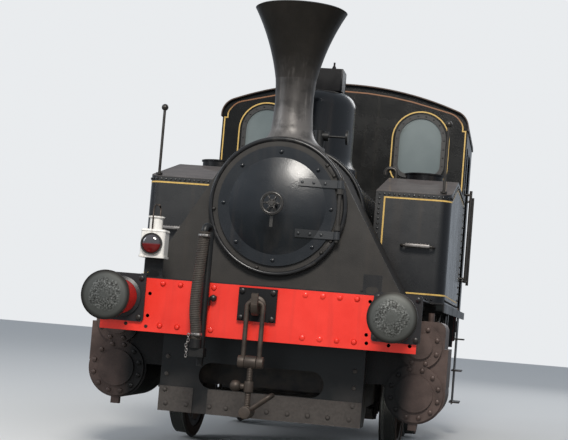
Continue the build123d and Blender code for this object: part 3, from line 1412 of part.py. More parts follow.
# Wheelsets: columns name, axle Y, X of the crank pin's end
spoke_width = 46
spoke_depth = 60
rim_depth = 50
crank_boss_radius = crank_pin_radius + 50
balance_inner = 290
hub_length = tyre_width + 10
pin_collar = 15
big_end_gap = 5
rim_outer = tread_radius - tyre_thickness
rim_inner = rim_outer - rim_depth
collar_start_x = coupling_rod_x + coupling_rod_width / 2 + pin_clearance
driven_pin_end_x = cylinder_x - connecting_rod_width / 2 - big_end_gap
wheelsets = (("front", front_axle_y, collar_start_x + pin_collar + 3), ("rear", rear_axle_y, driven_pin_end_x))
for name, axle_y, pin_end_x in wheelsets:
    with BuildPart() as axle:
        with BuildSketch(Plane.YZ.offset(-(wheel_outer_x + 20))):
            with Locations((axle_y, axle_z)):
                Circle(axle_radius)
        extrude(amount=2 * (wheel_outer_x + 20))
    axle.part.label = f"{name}_axle"
    export_step(axle.part, f"parts/{name}_axle.step")

    with BuildPart() as wheel_centres:
        for side, sign, angle in sides:
            pin_y, pin_z = crank_point(axle_y, crank_throw, angle)
            disc = Plane((sign * wheel_inner_x, axle_y, axle_z), x_dir=(0, 1, 0), z_dir=(sign, 0, 0))
            pin_plane = Plane((sign * wheel_inner_x, pin_y, pin_z), x_dir=(0, 1, 0), z_dir=(sign, 0, 0))
            with BuildSketch(disc.offset(10)):
                Circle(rim_outer)
                Circle(rim_inner, mode=Mode.SUBTRACT)
            extrude(amount=tyre_width - 20)
            with BuildSketch(disc.offset(30)):
                with PolarLocations((hub_radius + rim_inner) / 2, spoke_count):
                    Rectangle(rim_inner - hub_radius + 40, spoke_width)
            extrude(amount=spoke_depth)
            with BuildSketch(disc.offset(25)):
                Circle(rim_inner + 10)
                with PolarLocations(balance_inner + tread_radius, 1, start_angle=sign * angle + 180):
                    Rectangle(2 * tread_radius, 2 * tread_radius, mode=Mode.INTERSECT)
            extrude(amount=spoke_depth + 20)
            with BuildSketch(disc):
                Circle(hub_radius)
                Circle(axle_radius, mode=Mode.SUBTRACT)
            extrude(amount=hub_length)
            with BuildSketch(pin_plane.offset(20)):
                Circle(crank_boss_radius)
            extrude(amount=hub_length - 12)
            with BuildSketch(pin_plane.offset(20)):
                Circle(crank_pin_radius)
            extrude(amount=pin_end_x - wheel_inner_x - 20)
            with BuildSketch(pin_plane.offset(collar_start_x - wheel_inner_x)):
                Circle(crank_pin_radius + 22)
            extrude(amount=pin_collar)
            with BuildSketch(disc):
                Circle(axle_radius)
            extrude(amount=hub_length, mode=Mode.SUBTRACT)
    wheel_centres.part.label = f"{name}_wheel_centres"
    export_step(wheel_centres.part, f"parts/{name}_wheel_centres.step")

    with BuildPart() as tyres:
        for sign in (-1, 1):
            with BuildSketch(Plane.XY.offset(axle_z)):
                with BuildLine():
                    Polyline(
                        (sign * wheel_inner_x, axle_y + rim_outer),
                        (sign * wheel_outer_x, axle_y + rim_outer),
                        (sign * wheel_outer_x, axle_y + tread_radius - 5),
                        (sign * (wheel_inner_x + flange_width + 6), axle_y + tread_radius),
                        (sign * (wheel_inner_x + flange_width - 6), axle_y + tread_radius + flange_depth - 6),
                        (sign * (wheel_inner_x + flange_width - 16), axle_y + tread_radius + flange_depth),
                        (sign * (wheel_inner_x + 6), axle_y + tread_radius + flange_depth - 6),
                        (sign * wheel_inner_x, axle_y + tread_radius),
                        close=True,
                    )
                make_face()
            revolve(axis=Axis((0, axle_y, axle_z), (1, 0, 0)))
    tyres.part.label = f"{name}_tyres"
    export_step(tyres.part, f"parts/{name}_tyres.step")

# Return cranks: each carries the outer part of a driving pin, which is parted from the wheel's own
# pin by the big end gap, because the rods' far ends run in straight guides
return_crank_thickness = 30
return_crank_height = 90
big_end_inner_x = cylinder_x - connecting_rod_width / 2
with BuildPart() as return_cranks:
    for side, sign, angle in sides:
        pin_y, pin_z = crank_point(rear_axle_y, crank_throw, angle)
        return_y, return_z = crank_point(rear_axle_y, return_crank_throw, angle - 90)
        run_y, run_z = return_y - pin_y, return_z - pin_z
        length = hypot(run_y, run_z)
        crank_plane = Plane(
            (sign * return_crank_x, pin_y, pin_z),
            x_dir=(0, run_y / length, run_z / length),
            z_dir=(1, 0, 0),
        )
        with BuildSketch(crank_plane):
            with Locations((length / 2, 0)):
                SlotOverall(length + return_crank_height, return_crank_height)
        extrude(amount=return_crank_thickness / 2, both=True)
        with Locations(Location((sign * (big_end_inner_x + return_crank_x) / 2, pin_y, pin_z), (0, 90, 0))):
            Cylinder(crank_pin_radius, return_crank_x - big_end_inner_x)
        collar_x = (cylinder_x + connecting_rod_width / 2 + return_crank_x) / 2
        with Locations(Location((sign * collar_x, pin_y, pin_z), (0, 90, 0))):
            Cylinder(crank_pin_radius + 16, 2 * (return_crank_x - collar_x))
        with Locations(Location((sign * (eccentric_rod_x - 4), return_y, return_z), (0, 90, 0))):
            Cylinder(gear_pin_radius, eccentric_rod_x - return_crank_x + 6)
return_cranks.part.label = "return_cranks"
export_step(return_cranks.part, "parts/return_cranks.step")

# Coupling rods, fluted between their eyes and with an oil cup on each eye
coupling_eye_radius = 88
coupling_rod_height = 96
flute_height = 52
flute_depth = 8
cup_radius = 22
cup_height = 28
for side, sign, angle in sides:
    pin_y, pin_z = crank_point(rear_axle_y, crank_throw, angle)
    with BuildPart() as coupling_rod:
        with BuildSketch(Plane.YZ.offset(sign * coupling_rod_x)):
            with Locations((pin_y - wheelbase / 2, pin_z)):
                Rectangle(wheelbase, coupling_rod_height)
            for eye_y in (pin_y - wheelbase, pin_y):
                with Locations((eye_y, pin_z)):
                    Circle(coupling_eye_radius)
            for eye_y in (pin_y - wheelbase, pin_y):
                with Locations((eye_y, pin_z)):
                    Circle(crank_pin_radius + pin_clearance, mode=Mode.SUBTRACT)
        extrude(amount=coupling_rod_width / 2, both=True)
        with BuildSketch(Plane.YZ.offset(sign * (coupling_rod_x + coupling_rod_width / 2))):
            with Locations((pin_y - wheelbase / 2, pin_z)):
                SlotOverall(wheelbase - 3 * coupling_eye_radius, flute_height)
        extrude(amount=-sign * flute_depth, mode=Mode.SUBTRACT)
        for eye_y in (pin_y - wheelbase, pin_y):
            with Locations((sign * coupling_rod_x, eye_y, pin_z + coupling_eye_radius + cup_height / 2 - 4)):
                Cylinder(cup_radius, cup_height)
    coupling_rod.part.label = f"coupling_rod_{side}"
    export_step(coupling_rod.part, f"parts/coupling_rod_{side}.step")

# Axleboxes in the frame horns
axlebox_outer_x = wheel_inner_x - 12
axlebox_width = 140
axlebox_inner_x = axlebox_outer_x - axlebox_width
with BuildPart() as axleboxes:
    for axle_y in (front_axle_y, rear_axle_y):
        for sign in (-1, 1):
            with Locations((sign * (axlebox_inner_x + axlebox_outer_x) / 2, axle_y, axle_z)):
                Box(axlebox_outer_x - axlebox_inner_x, horn_width, 260)
            with Locations(Location((sign * (axlebox_inner_x + axlebox_outer_x) / 2, axle_y, axle_z), (0, 90, 0))):
                Cylinder(axle_radius + pin_clearance, 200, mode=Mode.SUBTRACT)
axleboxes.part.label = "axleboxes"
export_step(axleboxes.part, "parts/axleboxes.step")

# Leaf springs slung under the axleboxes: columns leaf number, half length
leaf_thickness = 14
leaf_count = 7
spring_half_length = 420
spring_width = 70
spring_x = frame_inner_x - 44
spring_top_z = axle_z - 130
with BuildPart() as leaf_springs:
    for axle_y in (front_axle_y, rear_axle_y):
        for sign in (-1, 1):
            for leaf in range(leaf_count):
                half = spring_half_length - leaf * 50
                with Locations((sign * spring_x, axle_y, spring_top_z - 60 - (leaf + 0.5) * leaf_thickness)):
                    Box(spring_width, 2 * half, leaf_thickness)
            with Locations((sign * spring_x, axle_y, spring_top_z - 80)):
                Box(spring_width + 16, 90, 160)
            for end in (-1, 1):
                with Locations((sign * spring_x, axle_y + end * (spring_half_length - 25), spring_top_z - 10)):
                    Box(24, 24, 130)
leaf_springs.part.label = "leaf_springs"
export_step(leaf_springs.part, "parts/leaf_springs.step")

# Brake gear: blocks between the wheels, their hangers on pins from the frames, and cross beams
block_gap = 8
block_thickness = 60
block_height = 300
brake_x = (wheel_inner_x + wheel_outer_x) / 2 + 18
block_width = 76
hanger_width = 40
hanger_pin_radius = 20
brake_beam_z = axle_z - 210
hanger_pin_z = deck_z - 110
hanger_distance = tread_radius + block_gap + block_thickness + 15
with BuildPart() as brake_gear:
    for axle_y, direction in ((front_axle_y, 1), (rear_axle_y, -1)):
        hanger_y = axle_y + direction * hanger_distance
        for sign in (-1, 1):
            with BuildSketch(Plane.YZ.offset(sign * brake_x)):
                with Locations((axle_y, axle_z)):
                    Circle(tread_radius + block_gap + block_thickness)
                    Circle(tread_radius + block_gap, mode=Mode.SUBTRACT)
                with Locations((axle_y + direction * tread_radius, axle_z)):
                    Rectangle(tread_radius, block_height, mode=Mode.INTERSECT)
            extrude(amount=block_width / 2, both=True)
            with BuildSketch(Plane.YZ.offset(sign * brake_x)):
                with Locations((hanger_y, (brake_beam_z + hanger_pin_z) / 2)):
                    Rectangle(hanger_width, hanger_pin_z - brake_beam_z)
                with Locations((hanger_y, hanger_pin_z)):
                    Circle(hanger_pin_radius + 18)
            extrude(amount=hanger_width / 2, both=True)
            pin_length = brake_x + hanger_width / 2 + 14 - frame_outer_x
            with Locations(Location((sign * (frame_outer_x + pin_length / 2), hanger_y, hanger_pin_z), (0, 90, 0))):
                Cylinder(hanger_pin_radius, pin_length)
        with Locations((0, hanger_y, brake_beam_z)):
            Box(2 * brake_x + hanger_width, 50, 60)
brake_gear.part.label = "brake_gear"
export_step(brake_gear.part, "parts/brake_gear.step")

# Lamp and lamp brackets on the front deck: an arched foot with a tapered post for each lamp
lamp_x = -793
lamp_y = -beam_face_y + 150
lamp_width = 174
lamp_depth = 150
lamp_bottom_z = 1363
lamp_top_z = 1548
lens_z = 1458
lens_radius = 67
lens_depth = 30
lamp_chimney_radius = 46
lamp_chimney_height = 92
bracket_x = 752
bracket_y = lamp_y + 30
bracket_foot_width = 130
bracket_post_width = 60
bracket_thickness_y = 12
bracket_arch_height = 70
with BuildPart() as lamp_brackets:
    for x in (lamp_x, bracket_x):
        with BuildSketch(Plane.XZ.offset(-(bracket_y + bracket_thickness_y / 2))):
            with BuildLine():
                Polyline(
                    (x - bracket_foot_width / 2, deck_top_z),
                    (x - bracket_post_width / 2, deck_top_z + bracket_arch_height),
                    (x - bracket_post_width / 2, lamp_bottom_z),
                    (x + bracket_post_width / 2, lamp_bottom_z),
                    (x + bracket_post_width / 2, deck_top_z + bracket_arch_height),
                    (x + bracket_foot_width / 2, deck_top_z),
                    (x + bracket_foot_width / 2 - 26, deck_top_z),
                )
                ThreePointArc(
                    (x + bracket_foot_width / 2 - 26, deck_top_z),
                    (x, deck_top_z + bracket_arch_height - 26),
                    (x - bracket_foot_width / 2 + 26, deck_top_z),
                )
                Line((x - bracket_foot_width / 2 + 26, deck_top_z), (x - bracket_foot_width / 2, deck_top_z))
            make_face()
        extrude(amount=bracket_thickness_y)
        for sign in (-1, 1):
            with Locations((x + sign * (bracket_foot_width / 2 - 8), bracket_y + 4, deck_top_z + 6)):
                Box(44, 60, 12)
lamp_brackets.part.label = "lamp_brackets"
export_step(lamp_brackets.part, "parts/lamp_brackets.step")

lamp_front_y = lamp_y - lamp_depth / 2
with BuildPart() as lamp:
    with BuildSketch(Plane.XY.offset(lamp_bottom_z)):
        with Locations((lamp_x, lamp_y)):
            RectangleRounded(lamp_width, lamp_depth, 22)
    extrude(amount=lamp_top_z - lamp_bottom_z)
    with BuildSketch(Plane.XY.offset(lamp_bottom_z)):
        with Locations((lamp_x, lamp_y)):
            RectangleRounded(lamp_width + 12, lamp_depth + 12, 26)
    extrude(amount=14)
    with BuildSketch(Plane.XY.offset(lamp_top_z)):
        with Locations((lamp_x, lamp_y)):
            RectangleRounded(lamp_width + 10, lamp_depth + 10, 24)
    extrude(amount=14, taper=30)
    with Locations((lamp_x, lamp_y, lamp_top_z + 14 + lamp_chimney_height / 2 - 8)):
        Cylinder(lamp_chimney_radius, lamp_chimney_height)
    with Locations((lamp_x, lamp_y, lamp_top_z + 14 + lamp_chimney_height - 4)):
        Cylinder(lamp_chimney_radius + 12, 10)
    with BuildSketch(Plane.XZ.offset(-(lamp_front_y + 4))):
        with Locations((lamp_x, lens_z)):
            Circle(lens_radius + 9)
    extrude(amount=lens_depth)
    with BuildSketch(Plane.XZ.offset(-(lamp_front_y + 4 - lens_depth))):
        with Locations((lamp_x, lens_z)):
            Circle(lens_radius)
    extrude(amount=-8, mode=Mode.SUBTRACT)
lamp.part.label = "lamp"
export_step(lamp.part, "parts/lamp.step")

# Brake standpipe in front of the beam, and the hose that hangs from its swan neck to its holder
standpipe_x = -358
standpipe_y = -beam_face_y - 50
standpipe_radius = 25
standpipe_bottom_z = 650
hose_x = -385
hose_y = standpipe_y - 70
hose_radius = 38
hose_top_z = 1560
hose_bottom_z = 830
hose_bulge_x = -30
hose_bulge_z = 1050
hose_bend = 200
with BuildPart() as brake_pipe:
    with Locations((standpipe_x, standpipe_y, (standpipe_bottom_z + hose_top_z) / 2)):
        Cylinder(standpipe_radius, hose_top_z - standpipe_bottom_z)
    with Locations((standpipe_x, (standpipe_y - beam_face_y) / 2, beam_bottom_z + 240)):
        Box(60, -standpipe_y - beam_face_y, 60)
    with BuildSketch(Plane.XY.offset(hose_top_z)):
        with Locations((standpipe_x, standpipe_y)):
            Circle(standpipe_radius)
    neck_direction = Vector(hose_x - standpipe_x, hose_y - standpipe_y, 0)
    revolve(
        axis=Axis(
            ((standpipe_x + hose_x) / 2, (standpipe_y + hose_y) / 2, hose_top_z),
            (-neck_direction.Y, neck_direction.X, 0),
        ),
        revolution_arc=180,
    )
    with Locations((hose_x, hose_y, hose_bottom_z - 30)):
        Cylinder(hose_radius + 6, 60)
    with Locations(((hose_x + standpipe_x) / 2, (hose_y + standpipe_y) / 2, hose_bottom_z - 90)):
        Box(100, 110, 60)
brake_pipe.part.label = "brake_pipe"
export_step(brake_pipe.part, "parts/brake_pipe.step")

with BuildPart() as brake_hose:
    with BuildLine() as hose_path:
        FilletPolyline(
            (hose_x, hose_y, hose_top_z),
            (hose_x, hose_y, hose_top_z - 60),
            (hose_x + hose_bulge_x, hose_y, hose_bulge_z),
            (hose_x, hose_y, hose_bottom_z + 60),
            (hose_x, hose_y, hose_bottom_z),
            radius=hose_bend,
        )
    with BuildSketch(Plane(hose_path.line @ 0, z_dir=hose_path.line % 0)):
        Circle(hose_radius)
    sweep()
brake_hose.part.label = "brake_hose"
export_step(brake_hose.part, "parts/brake_hose.step")
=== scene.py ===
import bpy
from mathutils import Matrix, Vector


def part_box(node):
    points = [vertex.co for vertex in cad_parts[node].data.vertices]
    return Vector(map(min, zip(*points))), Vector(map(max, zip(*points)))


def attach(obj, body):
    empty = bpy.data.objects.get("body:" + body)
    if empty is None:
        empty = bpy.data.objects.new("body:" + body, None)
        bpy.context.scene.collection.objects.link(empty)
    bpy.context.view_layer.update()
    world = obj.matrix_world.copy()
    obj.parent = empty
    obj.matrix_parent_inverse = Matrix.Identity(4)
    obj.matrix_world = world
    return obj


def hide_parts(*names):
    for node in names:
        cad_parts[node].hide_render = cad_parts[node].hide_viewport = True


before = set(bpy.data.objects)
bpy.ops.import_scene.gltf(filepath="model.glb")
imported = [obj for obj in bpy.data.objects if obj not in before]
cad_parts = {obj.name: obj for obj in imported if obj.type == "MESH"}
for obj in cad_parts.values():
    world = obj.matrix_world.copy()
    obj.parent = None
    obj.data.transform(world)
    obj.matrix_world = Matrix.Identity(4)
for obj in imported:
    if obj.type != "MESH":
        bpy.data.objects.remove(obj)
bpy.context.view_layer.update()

from math import cos, pi, radians, sin, sqrt

import bmesh
import bpy
from mathutils import Matrix, Vector


# Camera. A long lens looks along the engine at its front from knee height, a little to the right
# of it and rolled over to one side.
def add(name, data):
    """Adds an object to the scene."""
    made = bpy.data.objects.new(name, data)
    bpy.context.scene.collection.objects.link(made)
    return made


FOCAL_PIXELS = 1461.69
PICTURE_WIDTH = 568
CAMERA_PLACE = (1.701, -12.969, 1.023)
CAMERA_TURN = 9.076
CAMERA_TILT = 3.803
CAMERA_ROLL = 4.706
lens = bpy.data.cameras.new("lens")
lens.sensor_width = 36
lens.lens = 36 * FOCAL_PIXELS / PICTURE_WIDTH
lens.clip_end = 300
camera = add("camera", lens)
camera.matrix_world = (
    Matrix.Translation(CAMERA_PLACE)
    @ Matrix.Rotation(radians(CAMERA_TURN), 4, "Z")
    @ Matrix.Rotation(radians(90 + CAMERA_TILT), 4, "X")
    @ Matrix.Rotation(radians(CAMERA_ROLL), 4, "Z")
)
bpy.context.scene.camera = camera
bpy.context.scene.view_settings.view_transform = "Standard"


# Brake hose. Reinforced rubber hose with a wound wire that shows as ribs, clamped to the swan neck
# of the standpipe above the beam and hanging to the holder below it, with a small keeper chain.
def node(owner, kind, sockets=None, **settings):
    """Adds a node to the tree that owns a node or socket; sockets hold values or outputs."""
    tree = owner.id_data
    made = tree.nodes.new(kind)
    for name, value in settings.items():
        setattr(made, name, value)
    for name, value in (sockets or {}).items():
        if isinstance(value, bpy.types.NodeSocket):
            tree.links.new(value, made.inputs[name])
        else:
            made.inputs[name].default_value = value
    return made


def place_in(owner):
    """The place on a piece, in its own coordinates."""
    return node(owner, "ShaderNodeTexCoord").outputs["Object"]


def noise(place, scale, detail, roughness=0.5):
    """Cloudy values about 0.5 that change from place to place."""
    sockets = {"Vector": place, "Scale": scale, "Detail": detail, "Roughness": roughness}
    return node(place, "ShaderNodeTexNoise", sockets).outputs["Fac"]


def remap(value, start, end, low=0, high=1):
    """Carries the range from start to end over to the range from low to high, and holds it there."""
    sockets = {"Value": value, "From Min": start, "From Max": end, "To Min": low, "To Max": high}
    return node(value, "ShaderNodeMapRange", sockets).outputs["Result"]


def mix(share, first, second):
    """A blend of two colours, the first where the share is 0."""
    first, second = [c if isinstance(c, bpy.types.NodeSocket) else (*c, 1) for c in (first, second)]
    sockets = {"Factor": share, "A": first, "B": second}
    return node(share, "ShaderNodeMix", sockets, data_type="RGBA").outputs["Result"]


def bumps(height, strength, distance):
    """Normals that follow a height."""
    sockets = {"Height": height, "Strength": strength, "Distance": distance}
    return node(height, "ShaderNodeBump", sockets).outputs["Normal"]


def wire(target, **sources):
    """Links outputs to a node's inputs, named with underscores for spaces."""
    for socket, source in sources.items():
        target.id_data.links.new(source, target.inputs[socket.replace("_", " ")])


def finish_material(name, colour, roughness, **shader):
    """A material with a Principled shader; returns both."""
    material = bpy.data.materials.new(name)
    material.use_nodes = True
    surface = material.node_tree.nodes["Principled BSDF"]
    surface.inputs["Base Color"].default_value = (*colour, 1)
    surface.inputs["Roughness"].default_value = roughness
    for socket, value in shader.items():
        surface.inputs[socket.replace("_", " ")].default_value = value
    return material, surface


def clouded(name, colour, roughness, scale, detail, dark, light, gloss=None, relief=None, **shader):
    """A material whose colour, and where given its roughness and height, change in cloudy patches."""
    material, surface = finish_material(name, colour, roughness, **shader)
    patches = noise(place_in(surface), scale, detail)
    wire(surface, Base_Color=mix(patches, dark, light))
    if gloss:
        wire(surface, Roughness=remap(patches, 0, 1, *gloss))
    if relief:
        wire(surface, Normal=bumps(patches, *relief))
    return material


def piece(name, bm, material, body="engine", smooth=True):
    """Makes a piece of a finished bmesh, at the origin, and lets it ride on a body."""
    bmesh.ops.recalc_face_normals(bm, faces=bm.faces)
    mesh = bpy.data.meshes.new(name)
    bm.to_mesh(mesh)
    bm.free()
    mesh.materials.append(material)
    if smooth:
        mesh.shade_smooth()
    made = add(name, mesh)
    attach(made, body)
    return made


def edges_of(verts):
    """The edges that meet at some vertices."""
    return list({edge for vert in verts for edge in vert.link_edges})


def faces_of(verts):
    """The faces that meet at some vertices."""
    return list({face for vert in verts for face in vert.link_faces})


def round_off(bm, edges, offset, segments=2):
    """Rounds edges off."""
    bmesh.ops.bevel(
        bm, geom=edges, offset=offset, segments=segments, profile=0.5, affect="EDGES", material=-1
    )


def block(bm, size, place, turn=Matrix(), rounding=0, segments=2):
    """A box with its middle at a place, turned, with rounded edges."""
    matrix = Matrix.Translation(place) @ turn @ Matrix.Diagonal((*size, 1))
    verts = bmesh.ops.create_cube(bm, size=1, matrix=matrix)["verts"]
    if rounding:
        round_off(bm, edges_of(verts), rounding, segments)


def drum(bm, radius, length, matrix, segments, caps=True):
    """A cylinder along Z, carried over by a matrix; returns its vertices."""
    return bmesh.ops.create_cone(
        bm, cap_ends=caps, segments=segments, radius1=radius, radius2=radius, depth=length, matrix=matrix
    )["verts"]


def hoop(bm, centre, radius, rod, segments, steps):
    """A round rod bent to a full hoop about an axis along Y; returns its vertices."""
    before = set(bm.verts)
    start = Matrix.Translation(Vector(centre) + Vector((radius, 0, 0)))
    ring = bmesh.ops.create_circle(bm, segments=segments, radius=rod, matrix=start)["verts"]
    bmesh.ops.spin(
        bm,
        geom=edges_of(ring) + ring,
        cent=centre,
        axis=(0, 1, 0),
        dvec=(0, 0, 0),
        angle=2 * pi,
        steps=steps,
        use_merge=True,
    )
    return [vert for vert in bm.verts if vert not in before]


HOSE_RADIUS = 0.038
HOSE_ROUTE = (
    (-0.385, -3.270, 1.560),
    (-0.385, -3.270, 1.500),
    (-0.415, -3.270, 1.050),
    (-0.385, -3.270, 0.890),
    (-0.385, -3.270, 0.830),
)
RIB_PITCH = 0.012
WAVE_BANDS = 3.2  # bands to the metre of a wave texture with a scale of 1
hose_rubber, surface = finish_material("ribbed hose rubber", (0.03, 0.026, 0.023), 0.6)
place = place_in(surface)
rib_settings = {"Vector": place, "Scale": 1 / (RIB_PITCH * WAVE_BANDS), "Distortion": 0.15}
ribs = node(place, "ShaderNodeTexWave", rib_settings, wave_type="BANDS", bands_direction="Z")
shade = mix(noise(place, 22, 6), (0.014, 0.013, 0.012), (0.075, 0.058, 0.045))
wire(surface, Base_Color=shade, Normal=bumps(ribs.outputs["Fac"], 0.9, 0.004))

hose_line = bpy.data.curves.new("brake_hose_tube", "CURVE")
hose_line.dimensions = "3D"
hose_line.bevel_depth = HOSE_RADIUS
hose_line.bevel_resolution = 8
hose_line.resolution_u = 24
route = hose_line.splines.new("NURBS")
route.points.add(len(HOSE_ROUTE) - 1)
for point, spot in zip(route.points, HOSE_ROUTE):
    point.co = (*spot, 1)
route.order_u = 3
route.use_endpoint_u = True
hose_line.materials.append(hose_rubber)
hose = add("brake_hose_tube", hose_line)
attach(hose, "engine")
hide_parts("brake_hose")

clamp_steel = clouded(
    "dull clamp steel", (0.30, 0.29, 0.28), 0.4, 40, 5, (0.14, 0.12, 0.11), (0.42, 0.41, 0.4), (0.28, 0.6),
    Metallic=0.9,
)
CLAMP_SHEET = 0.003
clamps = bmesh.new()
pipe_x, pipe_y = HOSE_ROUTE[0][:2]
for height in (HOSE_ROUTE[0][2] - 0.03, HOSE_ROUTE[-1][2] + 0.03):
    middle = Matrix.Translation((pipe_x, pipe_y, height))
    band = drum(clamps, HOSE_RADIUS + CLAMP_SHEET, 0.022, middle, 32, caps=False)
    bmesh.ops.solidify(clamps, geom=faces_of(band), thickness=CLAMP_SHEET)
    block(clamps, (0.034, 0.02, 0.018), (pipe_x + 0.02, pipe_y - 0.042, height), rounding=0.003)
piece("hose_clamps", clamps, clamp_steel)

# Keeper chain: small welded links that hang from the lower clamp, each turned across the last
CHAIN_TOP = (-0.430, -3.300, 0.852)
CHAIN_STEP = (-0.0012, -0.0004, -0.01716)
CHAIN_LINKS = 9
CHAIN_SWAY = 0.006
LINK_HALF = 0.0075
LINK_WIRE = 0.003
LINK_STRETCH = 1.55
chain = bmesh.new()
for index in range(CHAIN_LINKS):
    centre = Vector(CHAIN_TOP) + Vector(CHAIN_STEP) * index
    centre.x += CHAIN_SWAY * sin(index * 1.1)
    link = hoop(chain, (0, 0, 0), LINK_HALF, LINK_WIRE, 10, 14)
    bmesh.ops.scale(chain, vec=(1, 1, LINK_STRETCH), verts=link)
    turn = Matrix.Rotation(pi / 2 * (index % 2), 4, "Z")
    bmesh.ops.transform(chain, matrix=Matrix.Translation(centre) @ turn, verts=link)
piece("keeper_chain", chain, clamp_steel)


# Floor, backdrop and lights. A plain pale studio floor under a pale surround, a strong lamp high in
# front and two weak ones at the side and behind; what gloss gives back is cooler and darker.
def calc(operation, *values):
    """The result of one sum."""
    owner = next(value for value in values if isinstance(value, bpy.types.NodeSocket))
    return node(owner, "ShaderNodeMath", dict(enumerate(values)), operation=operation).outputs[0]


FLOOR_HALF = 45
SURROUND = (0.86, 0.88, 0.90)
COOL_FILL = (0.72, 0.79, 0.88)
floor_mesh = bmesh.new()
bmesh.ops.create_grid(floor_mesh, x_segments=1, y_segments=1, size=FLOOR_HALF)
floor_data = bpy.data.meshes.new("floor")
floor_mesh.to_mesh(floor_data)
floor_mesh.free()
floor_paint, surface = finish_material("pale floor", (0.62, 0.62, 0.61), 0.7)
rays = node(surface, "ShaderNodeLightPath").outputs
seen_floor = mix(rays["Is Camera Ray"], (0.62, 0.62, 0.61), (0.76, 0.76, 0.75))
wire(surface, Base_Color=mix(rays["Is Glossy Ray"], seen_floor, (0.05, 0.055, 0.045)))
floor_data.materials.append(floor_paint)
floor = add("floor", floor_data)
floor.location.z = -0.001

world = bpy.data.worlds.new("surround")
bpy.context.scene.world = world
world.use_nodes = True
backdrop = world.node_tree.nodes["Background"]
rays = node(backdrop, "ShaderNodeLightPath").outputs
seen = calc("MAXIMUM", rays["Is Camera Ray"], rays["Is Transmission Ray"])
wire(backdrop, Color=mix(seen, COOL_FILL, SURROUND), Strength=remap(seen, 0, 1, 0.5, 0.95))


def aim(place, direction):
    """The matrix that carries to a place what stands on Z = 0, with its Z along a direction."""
    return Matrix.Translation(place) @ Vector(direction).to_track_quat("Z", "Y").to_matrix().to_4x4()


LIT_SPOT = (0, 0, 1.4)
# Columns: name, place, size, power, colour
for name, spot, size, power, colour in (
    ("key_lamp", (1.8, -15.5, 11.4), 5, 2300, (1.0, 0.96, 0.90)),
    ("side_lamp", (-12, -6, 7), 6, 400, (0.92, 0.96, 1.0)),
    ("back_lamp", (5, 14, 9), 7, 300, (1.0, 1.0, 1.0)),
):
    lamp_data = bpy.data.lights.new(name, "AREA")
    lamp_data.shape = "DISK"
    lamp_data.size = size
    lamp_data.energy = power
    lamp_data.color = colour
    studio_lamp = add(name, lamp_data)
    studio_lamp.matrix_world = aim(spot, Vector(spot) - Vector(LIT_SPOT))


# Frames, running plate and the small ironwork between them. Riveted steel plate in gloss black, thick
# with brush marks, duller and browner low down where dust and oil settle on it.
def split(vector):
    """The outputs that hold a vector's X, Y and Z."""
    return node(vector, "ShaderNodeSeparateXYZ", {0: vector}).outputs


def effect_group(name, inputs, outputs):
    """Starts a shader node group with named float inputs and named outputs."""
    group = bpy.data.node_groups.new(name, "ShaderNodeTree")
    for socket, value in inputs:
        made = group.interface.new_socket(socket, in_out="INPUT", socket_type="NodeSocketFloat")
        made.default_value = value
    for socket in outputs:
        group.interface.new_socket(socket, in_out="OUTPUT", socket_type="NodeSocketFloat")
    return group, group.nodes.new("NodeGroupInput"), group.nodes.new("NodeGroupOutput")


hammered_plate, given, result = effect_group(
    "hammered plate", (("Wave Size", 0.8), ("Brush Marks", 0.2)), ("Height", "Patches")
)
place = place_in(given)
waves = noise(place, calc("DIVIDE", 1.0, given.outputs["Wave Size"]), 1)
marks = calc("MULTIPLY", noise(place, 140, 3), given.outputs["Brush Marks"])
wire(result, Height=calc("ADD", waves, marks), Patches=noise(place, 4.5, 8, 0.62))

road_dust, given, result = effect_group("road dust", (("Clean Above", 1.3), ("Grain", 9.0)), ("Dust",))
place = place_in(given)
low = remap(split(place)["Z"], given.outputs["Clean Above"], 0.1)
settled = remap(noise(place, given.outputs["Grain"], 9), 0.35, 0.7)
wire(result, Dust=calc("MULTIPLY", low, settled))

rain_streaks, given, result = effect_group("rain streaks", (("Spread", 14.0),), ("Streaks",))
drawn = node(given, "ShaderNodeMapping", {"Vector": place_in(given), "Scale": (1, 1, 0.07)})
wire(result, Streaks=remap(noise(drawn.outputs[0], given.outputs["Spread"], 4), 0.52, 0.75))


def effect(owner, group, **values):
    """Places a shared effect in a material's tree with its own values; returns its outputs."""
    made = node(owner, "ShaderNodeGroup", node_tree=group)
    for socket, value in values.items():
        made.inputs[socket.replace("_", " ")].default_value = value
    return made.outputs


def paint(name, colour, clean_roughness, dull_roughness, dust_colour, clean_above, streaks, **shader):
    """Brushed paint on plate: patchy gloss, a wavy skin, settled dust and faint rain streaks."""
    material, surface = finish_material(name, colour, clean_roughness, **shader)
    plate = effect(surface, hammered_plate)
    dust = effect(surface, road_dust, Clean_Above=clean_above)
    runs = effect(surface, rain_streaks)
    toned = mix(plate["Patches"], [part * 0.75 for part in colour], [part * 1.2 for part in colour])
    dirt = calc("MAXIMUM", dust["Dust"], calc("MULTIPLY", runs["Streaks"], streaks))
    rough = calc("MAXIMUM", remap(plate["Patches"], 0.3, 0.7, clean_roughness, dull_roughness), dirt)
    skin = bumps(plate["Height"], 0.35, 0.012)
    wire(surface, Base_Color=mix(dirt, toned, dust_colour), Roughness=rough, Normal=skin)
    return material


def dress(material, *names):
    """Gives CAD nodes their finish."""
    for name in names:
        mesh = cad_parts[name].data
        mesh.materials.clear()
        mesh.materials.append(material)


